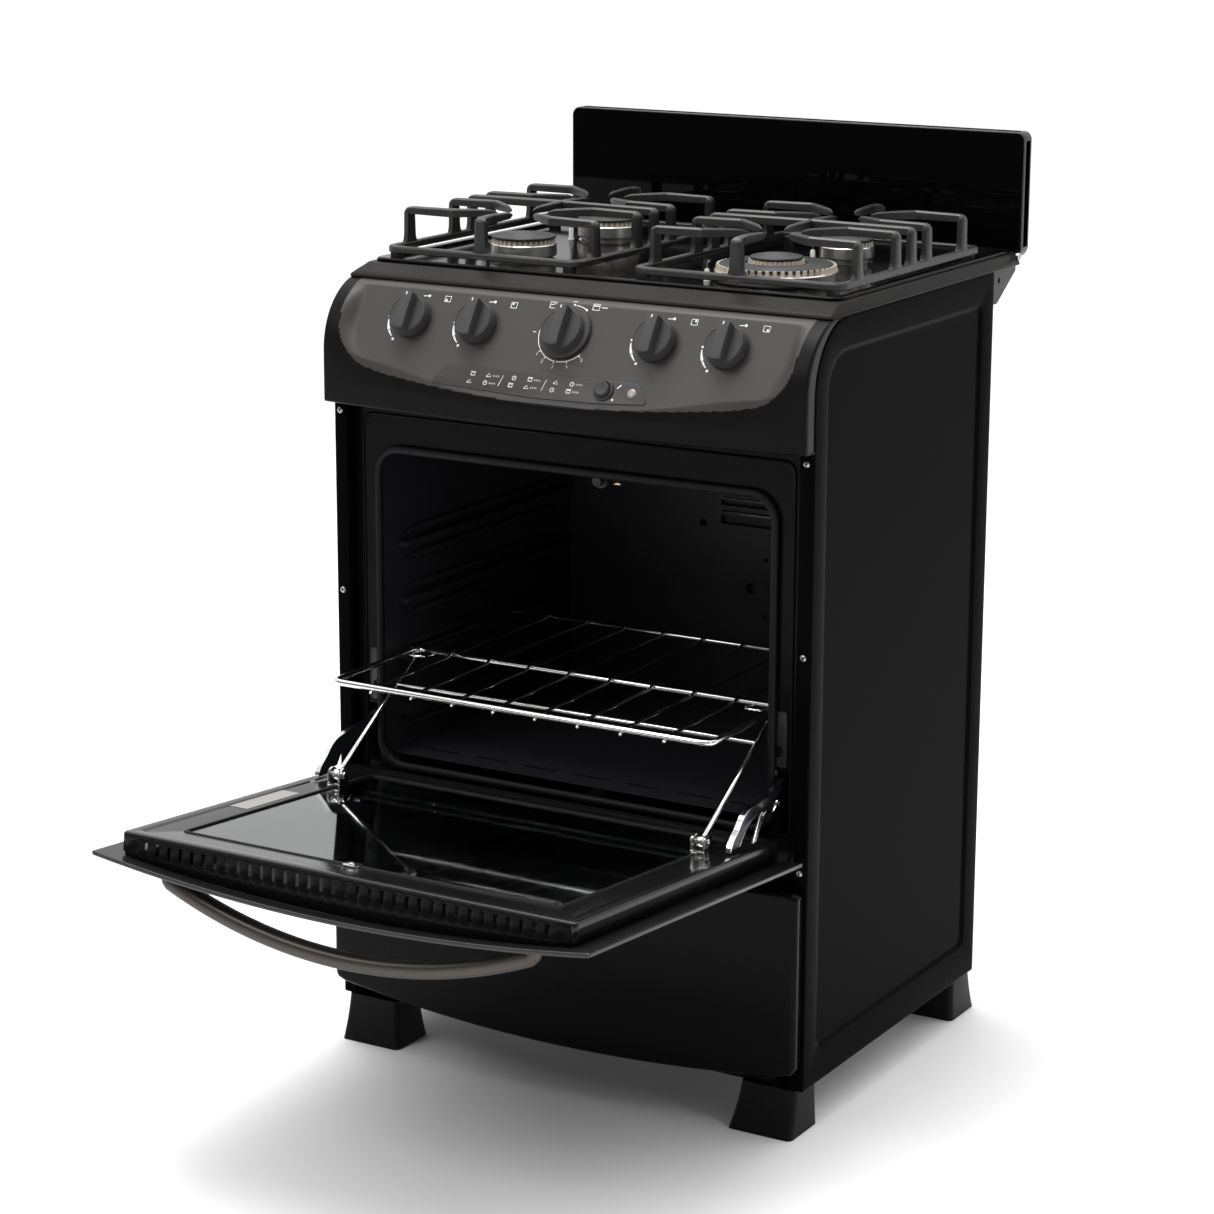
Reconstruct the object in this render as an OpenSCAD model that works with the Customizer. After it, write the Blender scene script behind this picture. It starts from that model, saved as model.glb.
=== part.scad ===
// Freestanding gas range: four burners, oven with a drop-down door and a rack that follows it, drawer below.
// Frame: +Z up, front towards -Y, +X to the right. Origin on the floor, centred under the side panels.
// Lengths in millimetres. The door is drawn closed and then turned open about its hinge.

/* [Cabinet] */
// Outside width
body_w = 600; // [500:10:900]
// Depth of a side panel
body_d = 442; // [400:1:620]
// Height of the cabinet's top edge above the floor
cabinet_top = 887; // [840:1:920]
// Height of the feet
foot_h = 53; // [40:1:90]
// Sheet steel thickness
sheet = 1.2; // [0.8:0.1:2]
// Radius of a side panel's top front corner
corner_r = 75; // [40:1:100]
// How far the front frame sits behind the side panels' front edge
frame_setback = 16; // [12:1:24]

/* [Oven] */
// Inside width of the oven
oven_w = 496; // [380:1:780]
// Bottom of the oven's mouth
mouth_z = 338; // [320:1:360]
// Height of the oven's mouth
mouth_h = 362; // [280:1:390]
// Depth of the oven from the front frame
oven_depth = 405; // [300:1:410]
// Height of the rack
rack_z = 460; // [420:1:620]
// Rack depth, front to back
rack_depth = 376; // [240:1:376]
// Rack frame wire diameter
rack_wire = 7; // [5:0.5:9]

/* [Door] */
// Bottom edge of the closed door's glass
door_z = 310; // [300:1:320]
// Height of the door's glass
door_h = 442; // [360:1:442]
// Thickness of the door's outer glass
skin_t = 5; // [4:0.5:6]
// How far the door's inner face stands behind its front edge line
pan_depth = 26; // [20:1:27]
// Opening angle shown, from closed
door_open = 85.2; // [75:0.1:88]
// How far the fronts bow forward at the middle
bow = 21; // [5:1:30]
// Handle stand-off at the middle
handle_reach = 52; // [40:1:70]
// Handle bar diameter
handle_d = 18; // [12:1:24]
// Height of the hinge axis above the door's bottom edge
hinge_up = 8; // [6:1:14]

/* [Drawer] */
// Height of the drawer front's top edge
drawer_top = 283; // [240:1:284]
// Bottom of the drawer front at its sides
drawer_bottom = 76; // [66:1:90]
// Drawer box depth
drawer_depth = 380; // [280:1:400]

/* [Controls] */
// Bottom edge of the control panel
panel_z = 754; // [750:1:760]
// Knob body diameter
knob_d = 45; // [36:1:48]
// Knob height above its base
knob_h = 22; // [16:1:28]
// Distance of the inner burner knobs from the middle
knob_x1 = 111; // [90:1:120]
// Distance of the outer burner knobs from the middle
knob_x2 = 196; // [175:1:210]
// Valve stem diameter
stem_d = 6; // [5:0.5:8]
// Push travel of a knob
knob_push = 3; // [2:0.5:4]

/* [Cooktop] */
// Height of the cooktop's lip
top_z = 905; // [895:1:925]
// Depth of the well in the cooktop
well = 8; // [4:1:12]
// Height of the grates' top bars
grate_z = 957; // [940:1:975]
// Grate bar width
grate_bar = 7; // [5:0.5:10]
// Height of the backguard's top
guard_top = 1037; // [960:1:1120]

/* [Hidden] */

$fn = 64;
big = 2000;
xw = body_w / 2;
yf = -body_d / 2;
yb = body_d / 2;

// Fronts: the edge line that door, drawer and control panel share, and the circle of their bow
edge_y = yf - 20;
bow_r = (xw * xw + bow * bow) / (2 * bow);
bow_cy = edge_y - bow + bow_r;

// Side panels and front frame
emboss = 3;
flange_w = 17;
frame_y = yf + frame_setback;
frame_top = panel_z - 2;
frame_bottom = drawer_top + 7;
frame_half = xw - flange_w;

// Oven
ox = oven_w / 2;
liner_t = 1;
liner_bottom = mouth_z - 42;
mouth_top = mouth_z + mouth_h;
oven_back = frame_y + oven_depth;
mouth_r = 26;
rack_half = ox - 8;
rib = 12;
rib_levels = [for (i = [0:3]) rack_z - 66 + i * 66];
rack_front = edge_y - 84;
bar_y = rack_front + 165;
slot_lo = mouth_z - 3;
slot_hi = mouth_z + 66;
arm_x = ox + 14;
slot_x = ox + 6;
slot_w = 17;

// Door
hinge_y = edge_y + 7;
hinge_z = door_z + hinge_up;
door_top = door_z + door_h;
door_half = xw - 1.5;
pan_half = frame_half - 10;
pan_y = edge_y + pan_depth;
pan_lo = door_z + 6;
pan_hi = door_top - 17;
glass_t = 4;
window_half = pan_half - 58;
window_lo = pan_lo + 34;
window_hi = pan_hi - 48;
handle_half = xw * 0.717;
handle_z = door_top - 30;
vent_n = 34;
vent_pitch = 14.6;

// Linkage that draws the rack out
rod_d = 5;
rod_x = rack_half - 10;
pin_y = rack_front;
pin_z = rack_z - 105;
rod_dx = bar_y - pin_y;
rod_dz = rack_z - pin_z;
rod_len = sqrt(rod_dx * rod_dx + rod_dz * rod_dz);
rod_angle = atan2(rod_dz, rod_dx);
pin_d = 5;

// Control panel: the flat knob field leans back from the lower ledge to the top edge
field_top_y = edge_y + 45;
field_top_z = cabinet_top - 3;
field_bot_y = edge_y - 18;
field_bot_z = panel_z + 30;
lean = atan2(field_top_y - field_bot_y, field_top_z - field_bot_z);
field_len = (field_top_z - field_bot_z) / cos(lean);
arc_z = cabinet_top - corner_r;
wall = 2.5;
knob_z = cabinet_top - 35;
knob_y = field_bot_y + (knob_z - field_bot_z) * tan(lean);
knob_xs = [-knob_x2, -knob_x1, 0, knob_x1, knob_x2];
knob_gap = knob_push + 0.4;
label_x = -14;
label_z = panel_z + 46;
button_x = 66;
lens_x = 100;
small_z = label_z + 1;
button_d = 17;
run_fit = 0.05;
inlet_d = 21;
inlet_len = 25;
inlet_x = xw - 34;
inlet_z = knob_z - 52 * sin(lean);

// Cooktop and burners: x, y, crown diameter, cap diameter
plate_half = xw - 8;
plate_front = yf + 66;
plate_back = yb + 69;
guard_y = yb + 71;
guard_t = 20;
well_in = 10;
top_sheet = 1.5;
well_z = top_z - well;
burners = [[-158, -48, 75, 70], [-160, 145, 75, 70], [163, -49, 135, 49], [162, 123, 62, 56]];
crown_h = 17;
grate_half_w = 127;
grate_x = 160;
grate_front = plate_front + 16;
grate_back = plate_back - 76;
foot_bar = 12;

// Drawer
box_half = frame_half - 29;
box_top = drawer_top - 12;
box_bottom = foot_h + 36;

// --- helpers ---------------------------------------------------------------

module rounded(w, d, r) {
    // rectangle centred on the origin with round corners, made of exact arcs
    union() {
        square([w - 2 * r, d], center = true);
        square([w, d - 2 * r], center = true);
        for (x = [-1, 1], y = [-1, 1]) translate([x * (w / 2 - r), y * (d / 2 - r)]) circle(r = r);
    }
}

module span_x(x0, x1) {
    // a YZ outline carried along X from x0 to x1
    translate([x0, 0, 0]) rotate([90, 0, 90]) linear_extrude(x1 - x0) children();
}

module facing(y, t) {
    // an XZ outline with its front face at y, thickness t towards the back
    translate([0, y + t, 0]) rotate([90, 0, 0]) linear_extrude(t) children();
}

module bow_solid(inset, z0, z1) {
    // everything behind the bowed front surface set back by inset
    translate([0, bow_cy, z0]) cylinder(r = bow_r - inset, h = z1 - z0, $fn = 256);
}

module door_place() {
    // turns the closed door open about its hinge axis
    translate([0, hinge_y, hinge_z]) rotate([door_open, 0, 0]) translate([0, -hinge_y, -hinge_z]) children();
}

module both_sides() {
    children();
    mirror([1, 0, 0]) children();
}

module tube(p, q, d) {
    // straight wire or pipe from p to q
    v = q - p;
    translate(p) rotate([0, acos(v[2] / norm(v)), atan2(v[1], v[0])]) cylinder(d = d, h = norm(v), $fn = 24);
}

module on_field(x, z) {
    // local frame on the knob field: local +Z points out of the panel
    y = field_bot_y + (z - field_bot_z) * tan(lean);
    translate([x, y, z]) rotate([90 - lean, 0, 0]) children();
}

// --- cabinet ---------------------------------------------------------------

module side_outline(grow) {
    // side panel seen from the side, grown outwards by grow (negative shrinks)
    intersection() {
        translate([yf - grow, foot_h - grow]) square([body_d + 2 * grow, cabinet_top - foot_h + 2 * grow]);
        union() {
            translate([yf - grow, foot_h - grow]) square([body_d + 2 * grow, arc_z - foot_h + grow]);
            translate([yf + corner_r, foot_h - grow]) square([body_d - corner_r + grow, cabinet_top - foot_h + 2 * grow]);
            translate([yf + corner_r, arc_z]) circle(r = corner_r + grow);
        }
    }
}

module side_field(grow) {
    // pressed field of a side panel: an inset outline with the same front curve
    r = corner_r - 34;
    lo = [yf + 31 - grow, foot_h + 42 - grow];
    hi = [yb - 33 + grow, cabinet_top - 35 + grow];
    translate(lo) square([hi[0] - lo[0], hi[1] - lo[1] - r]);
    translate([lo[0] + r, lo[1]]) square([hi[0] - lo[0] - r, hi[1] - lo[1]]);
    translate([lo[0] + r, hi[1] - r]) circle(r = r);
}

module side_panel() {
    difference() {
        union() {
            difference() {
                span_x(xw - emboss - sheet, xw) side_outline(0);
                span_x(xw - emboss, xw + 1) side_field(0);
                span_x(xw - emboss - sheet - 1, xw - sheet) difference() {
                    side_outline(2);
                    side_field(sheet);
                }
            }
            // front flange with its return leg beside the front frame
            translate([xw - flange_w, yf, foot_h + 1]) cube([flange_w - sheet, sheet, panel_z - foot_h - 3]);
            translate([xw - flange_w, yf, foot_h + 1]) cube([sheet, frame_setback, panel_z - foot_h - 3]);
            // rear flange
            translate([xw - flange_w, yb - sheet, foot_h + 1]) cube([flange_w - sheet, sheet, cabinet_top - foot_h - 3]);
        }
        for (z = [mouth_z + 198, mouth_z - 150])
            translate([xw - flange_w / 2, yf - 1, z]) rotate([-90, 0, 0]) cylinder(d = 4, h = sheet + 2);
    }
}

module side_panel_right() { color([0.04, 0.04, 0.04]) side_panel(); }
module side_panel_left() { color([0.04, 0.04, 0.04]) mirror([1, 0, 0]) side_panel(); }

module flue_cuts(y0, y1, drop) {
    // flue slots and sight holes through the back of the oven
    for (s = [[585, 6], [562, 11]]) translate([-36, y0, s[0] - drop]) cube([136, y1 - y0, s[1]]);
    for (h = [[6, 487, 12.5], [25, 524, 5.5], [25, 454, 5.5]])
        translate([h[0], y0, h[1] - drop]) rotate([-90, 0, 0]) cylinder(d = h[2], h = y1 - y0, $fn = 32);
}

module back_panel() {
    color([0.35, 0.35, 0.36]) difference() {
        facing(yb - 2 * sheet - 0.2, sheet) translate([-xw + sheet + 0.3, foot_h + 6])
            square([body_w - 2 * sheet - 0.6, cabinet_top - foot_h - 16]);
        translate([-48, yb - 20, 552]) cube([164, 30, 44]);
        for (h = [[-4, 482, 22], [15, 519, 16], [15, 449, 16]])
            translate([h[0], yb - 20, h[1]]) rotate([-90, 0, 0]) cylinder(d = h[2], h = 30, $fn = 32);
        for (i = [-6:6]) translate([i * 34 - 11, yb - 20, foot_h + 60]) cube([22, 30, 5]);
        translate([inlet_x, yb - 20, inlet_z]) rotate([-90, 0, 0]) cylinder(d = 26, h = 30);
    }
}

module base_frame() {
    // open chassis under the cabinet: two side channels and two cross rails
    color([0.12, 0.12, 0.12]) {
        both_sides() translate([xw - 40, frame_y + 1, foot_h]) difference() {
            cube([34, yb - 4 - frame_y - 1, 20]);
            translate([sheet, -1, sheet]) cube([34, body_d, 20 - 2 * sheet]);
        }
        translate([-xw + 42, yf + 6, foot_h]) cube([body_w - 84, 24, sheet]);
        translate([-xw + 42, yb - 32, foot_h]) cube([body_w - 84, 24, sheet]);
        translate([-xw + 39, yf + 6, foot_h]) cube([body_w - 78, sheet, 6]);
        translate([-xw + 39, yb - 32, foot_h]) cube([body_w - 78, sheet, 20]);
    }
}

module feet() {
    // four tapered feet that flare outwards to the floor
    top_w = 66;
    foot_w = 83;
    color([0.09, 0.09, 0.09]) for (sx = [-1, 1]) {
        hull() {
            translate([sx > 0 ? xw - 3 - foot_w : -xw + 3, yf - 15, 0]) cube([foot_w, 66, 1]);
            translate([sx > 0 ? xw - 8 - top_w : -xw + 8, yf + 2, foot_h - 1]) cube([top_w, 44, 1]);
        }
        hull() {
            translate([sx > 0 ? xw - 3 - foot_w : -xw + 3, yb - 46, 0]) cube([foot_w, 66, 1]);
            translate([sx > 0 ? xw - 8 - top_w : -xw + 8, yb - 46, foot_h - 1]) cube([top_w, 44, 1]);
        }
    }
}

module front_frame() {
    color([0.05, 0.05, 0.05]) difference() {
        facing(frame_y, sheet) translate([-frame_half + 0.3, frame_bottom])
            square([2 * frame_half - 0.6, frame_top - frame_bottom]);
        facing(frame_y - 1, 5) translate([0, mouth_z + mouth_h / 2]) rounded(oven_w, mouth_h, mouth_r);
        both_sides() translate([slot_x, frame_y - 1, slot_lo]) cube([slot_w, 5, slot_hi - slot_lo]);
    }
}

// --- oven ------------------------------------------------------------------

module oven_liner() {
    y0 = frame_y + sheet + 0.2;
    y1 = oven_back;
    color([0.06, 0.06, 0.07]) {
        difference() {
            translate([-ox - liner_t, y0, liner_bottom - liner_t])
                cube([oven_w + 2 * liner_t, y1 - y0 + liner_t, mouth_top - liner_bottom + 2 * liner_t]);
            translate([-ox, y0 + liner_t, liner_bottom]) cube([oven_w, y1 - y0 - liner_t, mouth_top - liner_bottom]);
            facing(y0 - 1, 4) translate([0, mouth_z + mouth_h / 2]) rounded(oven_w - 1, mouth_h - 1, mouth_r);
            flue_cuts(oven_back - 5, oven_back + 5, 0);
        }
        // pressed rack slides on both walls
        both_sides() for (z = rib_levels)
            translate([ox - rib, y0 + 30, z - rack_wire / 2 - 0.4 - rib / 2]) cube([rib + 0.5, y1 - y0 - 40, rib / 2]);
    }
}

module oven_gasket() {
    // soft seal around the mouth
    color([0.03, 0.03, 0.03]) facing(frame_y - 8.5, 8.3) difference() {
        translate([0, mouth_z + mouth_h / 2]) rounded(oven_w + 12, mouth_h + 12, mouth_r + 6);
        translate([0, mouth_z + mouth_h / 2]) rounded(oven_w - 6, mouth_h - 6, mouth_r - 3);
    }
}

module oven_floor() {
    // lift-out floor with heat slots
    color([0.05, 0.05, 0.06]) difference() {
        translate([-ox + 2, frame_y + 14, mouth_z + 6]) cube([oven_w - 4, oven_depth - 24, 1.5]);
        for (x = [-3:3]) translate([x * 66 - 22, frame_y + 40, mouth_z]) cube([44, 7, 20]);
        for (x = [-3:3]) translate([x * 66 - 22, oven_back - 50, mouth_z]) cube([44, 7, 20]);
    }
    color([0.05, 0.05, 0.06]) both_sides()
        translate([ox - 8, frame_y + 14, liner_bottom]) cube([4, oven_depth - 24, mouth_z + 6 - liner_bottom]);
}

module oven_burner() {
    z = liner_bottom + 20;
    color([0.5, 0.5, 0.5]) {
        tube([0, frame_y + 50, z], [0, oven_back - 30, z], 24);
        translate([-8, oven_back - 52, liner_bottom]) cube([16, 4, 12]);
        translate([-8, frame_y + 62, liner_bottom]) cube([16, 4, 12]);
    }
}

module broiler_burner() {
    z = mouth_top - 20;
    color([0.5, 0.5, 0.5]) {
        tube([0, frame_y + 60, z], [0, oven_back - 40, z], 18);
        for (y = [frame_y + 90, oven_back - 80]) translate([-4, y, z + 6]) cube([8, 3, 14]);
    }
    color([0.75, 0.58, 0.25]) {
        translate([0, frame_y + 52, z]) rotate([-90, 0, 0]) cylinder(d = 12, h = 12, $fn = 6);
    }
}

module insulation() {
    // mineral wool over the top and the upper sides of the oven
    lo = slot_hi + 60;
    t = 22;
    color([0.8, 0.75, 0.55]) difference() {
        translate([-ox - t, frame_y + 12, lo]) cube([oven_w + 2 * t, oven_back - frame_y - 6, mouth_top + t - lo]);
        translate([-ox - liner_t - 0.4, frame_y, lo - 1])
            cube([oven_w + 2 * liner_t + 0.8, oven_depth + 40, mouth_top - lo + liner_t + 1.4]);
    }
}

module hinge_receivers() {
    // brackets behind the front frame that carry the door's hinge pins
    color([0.6, 0.6, 0.62]) both_sides() {
        translate([arm_x + 14, frame_y + sheet, hinge_z - 14]) cube([3, 60, slot_hi - hinge_z + 40]);
        translate([arm_x + 14 + 3, frame_y + sheet + 0.2, hinge_z + 10]) cube([4, 3, 60]);
    }
}

// --- controls --------------------------------------------------------------

module panel_profile(g) {
    // end profile of the control panel, inset by g
    translate([edge_y + g, panel_z + g]) square([corner_r + 3 - g, arc_z - panel_z - g]);
    intersection() {
        translate([edge_y + corner_r + 3, arc_z]) circle(r = corner_r + 3 - g);
        translate([edge_y, arc_z - 1]) square([52, corner_r + 10]);
    }
}

module behind_side_curve() {
    // the space inside the side panels' front curve, which the control panel wraps around
    translate([yf - 0.4, panel_z - 10]) square([200, arc_z - panel_z + 10]);
    translate([yf + corner_r, arc_z]) circle(r = corner_r + 0.4);
    translate([yf + corner_r, panel_z - 10]) square([200, cabinet_top - panel_z + 10.4]);
}

module smile(g) {
    // outline of the flat knob field in its own plane, grown by g; local Y runs up the slope
    half = xw - 17 + g;
    difference() {
        translate([-half, -g]) square([2 * half, field_len + 40]);
        translate([-half - 1, -30]) square([2 * half + 2, 30 - g + 0.01]);
        for (s = [-1, 1]) difference() {
            translate([s > 0 ? half - 56 : -half, -g - 1]) square([56, 57]);
            translate([s * (half - 56), 56 - g]) circle(r = 56);
        }
    }
}

module panel_mass(g) {
    // outer form of the control panel (g = 0) or the void inside it (g = wall)
    difference() {
        union() {
            span_x(-xw + g, xw - g) panel_profile(g);
            intersection() {
                bow_solid(g, panel_z + g, arc_z);
                translate([-xw + g, edge_y - bow - 5, panel_z]) cube([body_w - 2 * g, bow + 30, arc_z - panel_z]);
            }
        }
        translate([0, field_bot_y, field_bot_z]) rotate([90 - lean, 0, 0])
            translate([0, 0, -g]) linear_extrude(70) smile(g > 0 ? wall : 0);
    }
}

module control_panel() {
    color([0.3, 0.29, 0.28]) difference() {
        panel_mass(0);
        panel_mass(wall);
        span_x(-xw - 1, xw + 1) behind_side_curve();
        for (x = knob_xs) on_field(x, knob_z) translate([0, 0, -20]) cylinder(d = stem_d + 3, h = 40);
        on_field(button_x, small_z) translate([0, 0, -20]) cylinder(d = button_d + 1.6, h = 40);
        on_field(lens_x, small_z) translate([0, 0, -20]) cylinder(d = 9.4, h = 40);
    }
}

module label_plate() {
    color([0.35, 0.34, 0.34]) on_field(label_x, label_z) translate([0, 0, 0.02]) difference() {
        linear_extrude(1) polygon([[-120, 13], [120, 13], [135, -10], [70, -14.5], [-70, -14.5], [-135, -10]]);
        for (p = [[button_x, button_d + 1.6], [lens_x, 9.4]])
            translate([p[0] - label_x, (small_z - label_z) / cos(lean), -1]) cylinder(d = p[1], h = 4);
    }
}

module button_ring() {
    color([0.12, 0.12, 0.12]) on_field(button_x, small_z) translate([0, 0, 1.04]) difference() {
        cylinder(d = 24, h = 3);
        translate([0, 0, -1]) cylinder(d = button_d + 0.8, h = 6);
    }
}

module igniter_button() {
    color([0.16, 0.15, 0.15]) on_field(button_x, small_z) {
        translate([0, 0, -6]) cylinder(d = button_d, h = 14);
        translate([0, 0, -16]) cylinder(d = 9, h = 11);
    }
}

module indicator_lens() {
    color([0.5, 0.5, 0.5]) on_field(lens_x, small_z) {
        translate([0, 0, -6]) cylinder(d = 9.2, h = 8);
        translate([0, 0, 1.06]) cylinder(d = 10.6, h = 1.2);
    }
}

module valve_bodies() {
    // five gas taps clamped to the manifold behind the panel
    color([0.7, 0.6, 0.35]) for (x = knob_xs) on_field(x, knob_z) difference() {
        translate([-11, -11, -44]) cube([22, 22, 34]);
        translate([0, 0, -34]) cylinder(d = stem_d + 2 * run_fit, h = 60);
    }
}

module gas_manifold() {
    // pipe along the taps, then to the back, and the inlet that sticks out of the back panel
    y = knob_y + 52 * cos(lean);
    z = inlet_z;
    color([0.55, 0.55, 0.56]) {
        tube([-knob_x2 - 24, y, z], [inlet_x, y, z], 16);
        tube([inlet_x, y - 8, z], [inlet_x, yb + 5, z], 12);
    }
    color([0.75, 0.62, 0.3]) translate([inlet_x, yb + 4, z]) rotate([-90, 0, 0]) cylinder(d = inlet_d, h = inlet_len);
}

module feed_tubes() {
    // aluminium tubes from the taps to the burner venturis; the upright runs on past the bend as an end fitting
    z = well_z - 24;
    color([0.7, 0.7, 0.72]) for (i = [0:3]) {
        b = burners[i];
        x = knob_xs[[0, 1, 4, 3][i]] + (i < 2 ? 4 : -4);
        tube([x, knob_y + 60, knob_z + 4], [x, knob_y + 60, z + 5], 8);
        tube([x, knob_y + 60, z], [b[0], b[1] - 8, z], 6);
    }
}

module stem(i) {
    // round valve stem with a flat near its tip
    color([0.7, 0.6, 0.35]) on_field(knob_xs[i], knob_z) difference() {
        translate([0, 0, -32]) cylinder(d = stem_d, h = 46);
        translate([stem_d / 2 - 1, -5, -1]) cube([4, 10, 20]);
    }
}

module knob(i) {
    // grip bar across a round body; the middle knob also has a wide dial skirt
    d = i == 2 ? knob_d + 3 : knob_d;
    base = 6;
    color([0.08, 0.08, 0.08]) on_field(knob_xs[i], knob_z) translate([0, 0, knob_gap]) difference() {
        union() {
            cylinder(d = d, h = base);
            if (i == 2) cylinder(d = d + 12, h = 2.2);
            translate([0, 0, base - 0.5]) intersection() {
                cylinder(d = d - 3, h = knob_h - base);
                translate([-d / 3.1, -d / 2, 0]) cube([d / 1.55, d, knob_h]);
            }
        }
        translate([0, 0, -1]) difference() {
            cylinder(d = stem_d + 2 * run_fit, h = 16 + knob_push);
            translate([stem_d / 2 - 0.9, -5, -1]) cube([4, 10, 30]);
        }
    }
}

module knob_1() { knob(0); }
module knob_2() { knob(1); }
module knob_3() { knob(2); }
module knob_4() { knob(3); }
module knob_5() { knob(4); }
module stem_1() { stem(0); }
module stem_2() { stem(1); }
module stem_3() { stem(2); }
module stem_4() { stem(3); }
module stem_5() { stem(4); }

// --- cooktop ---------------------------------------------------------------

module cooktop_trim() {
    // surround with a sloping front
    in_front = plate_front - 6;
    color([0.3, 0.29, 0.28]) difference() {
        span_x(-xw, xw) polygon([[yf + 34, cabinet_top + 0.4], [in_front, top_z - 5], [plate_back + 2, top_z - 5],
            [plate_back + 2, cabinet_top + 0.4]]);
        translate([-plate_half + 6, plate_front + 6, cabinet_top - 2])
            cube([2 * plate_half - 12, plate_back - plate_front - 12, 40]);
        translate([-xw + 3, yf + 44, cabinet_top - 1]) cube([body_w - 6, 30, 5]);
    }
}

module cooktop_plate() {
    z0 = top_z - 4.8;
    cx = (plate_front + plate_back) / 2;
    d = plate_back - plate_front;
    color([0.03, 0.03, 0.03]) difference() {
        union() {
            translate([0, cx, z0]) linear_extrude(top_z - z0) rounded(2 * plate_half, d, 15);
            translate([0, cx, well_z - top_sheet]) linear_extrude(well) rounded(2 * (plate_half - well_in + top_sheet), d - 2 * (well_in - top_sheet), 12);
        }
        translate([0, cx, well_z]) linear_extrude(well + 5) rounded(2 * (plate_half - well_in), d - 2 * well_in, 11);
        for (b = burners) translate([b[0], b[1], well_z - 10]) cylinder(d = min(b[2], 80) - 22, h = 20);
    }
}

module burner_crowns() {
    // flame rings standing in the cooktop, with ports all round
    color([0.75, 0.75, 0.74]) for (b = burners) translate([b[0], b[1], 0]) {
        d = b[2];
        difference() {
            union() {
                translate([0, 0, well_z + 0.02]) cylinder(d1 = min(d, 90) + 4, d2 = min(d, 90), h = 6);
                translate([0, 0, well_z + 5]) cylinder(d = d, h = crown_h - 5);
                translate([0, 0, well_z - 20]) cylinder(d = min(d, 80) - 26, h = 25);
            }
            for (k = [0:17]) rotate([0, 0, k * 20]) translate([d / 2 - 7, -0.9, well_z + crown_h - 4]) cube([12, 1.8, 8]);
            translate([0, 0, well_z + 4]) cylinder(d = d > 90 ? 34 : d - 16, h = crown_h);
            if (d > 90) translate([0, 0, well_z + crown_h - 5]) difference() {
                cylinder(d = d - 16, h = 20);
                translate([0, 0, -1]) cylinder(d = 60, h = 22);
            }
        }
    }
}

module electrodes() {
    // spark electrodes beside the burners
    color([0.9, 0.9, 0.88]) for (b = burners) {
        a = 215;
        r = b[2] / 2 + 7.5;
        translate([b[0] + r * cos(a), b[1] + r * sin(a), well_z + 0.1]) {
            cylinder(d = 6, h = 9, $fn = 24);
            cylinder(d = 2, h = 15, $fn = 16);
        }
    }
}

module cap(i) {
    // enamelled lid that rests in its crown
    b = burners[i];
    z = well_z + crown_h + 0.1;
    color([0.05, 0.05, 0.05]) translate([b[0], b[1], z]) {
        cylinder(d = b[3] + 6, h = 3);
        translate([0, 0, 2.5]) cylinder(d1 = b[3] + 6, d2 = b[3] - 4, h = 3.5);
        translate([0, 0, -4]) cylinder(d = (b[2] > 90 ? 34 : b[2] - 16) - 2, h = 5);
    }
}

module cap_1() { cap(0); }
module cap_2() { cap(1); }
module cap_3() { cap(2); }
module cap_4() { cap(3); }

module finger(p, bend, tip, h) {
    // one grate finger: a leg on the rail at p, a top bar to bend, then a bar to tip
    g = grate_bar;
    z = grate_z - g - 2;
    a = atan2(bend[1] - p[1], bend[0] - p[0]);
    n1 = norm(bend - p);
    c = atan2(tip[1] - bend[1], tip[0] - bend[0]);
    n2 = norm(tip - bend);
    translate([p[0], p[1], 0]) rotate([0, 0, a]) {
        translate([-g / 2, -g / 2, h]) cube([g + 3, g, grate_z - h]);
        translate([0, -g / 2, z]) cube([n1, g, g + 2]);
    }
    translate([bend[0], bend[1], 0]) rotate([0, 0, c]) translate([0, -g / 2, z]) cube([n2, g, g + 2]);
    translate([bend[0], bend[1], z]) cylinder(d = g, h = g + 2, $fn = 24);
}

module grate() {
    g = grate_bar + 1;
    base = top_z + 4;
    w = grate_half_w;
    len = grate_back - grate_front;
    mid = len / 2;
    color([0.05, 0.05, 0.05]) translate([0, grate_front, 0]) {
        // base ring
        difference() {
            translate([-w, 0, base]) cube([2 * w, len, g]);
            translate([-w + g, g, base - 1]) cube([2 * (w - g), len - 2 * g, g + 2]);
        }
        // feet under the corners stand in the well
        for (x = [-w + 8, w - foot_bar - 8], y = [0, len - foot_bar])
            translate([x, y, well_z + 0.2]) cube([foot_bar, foot_bar, base + 1 - well_z]);
        // side fingers around each burner
        for (s = [-1, 1], q = [[0.26, -1], [0.26, 1], [0.74, -1], [0.74, 1]]) {
            y = len * q[0] + q[1] * 46;
            finger([s * (w - g / 2), y], [s * (w - 62), y], [s * 26, len * q[0] + q[1] * 16], base);
        }
        // front and rear fingers
        finger([0, g / 2], [0, 20], [0, len * 0.26 - 24], base);
        finger([0, len - g / 2], [0, len - 20], [0, len * 0.74 + 24], base);
        // middle bar across, with its spine
        finger([-w + g / 2, mid], [-w + 60, mid], [0, mid], base);
        finger([w - g / 2, mid], [w - 60, mid], [0, mid], base);
        translate([-g / 2, len * 0.26 + 24, grate_z - g]) cube([g, len * 0.48 - 48, g]);
    }
}

module grate_left() { translate([-grate_x, 0, 0]) grate(); }
module grate_right() { translate([grate_x, 0, 0]) grate(); }

// --- backguard -------------------------------------------------------------

module backguard_glass() {
    color([0.02, 0.02, 0.02]) facing(guard_y, 5) translate([0, (guard_top + top_z - 3) / 2])
        rounded(body_w - 2, guard_top - top_z + 1, 9);
}

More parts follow.
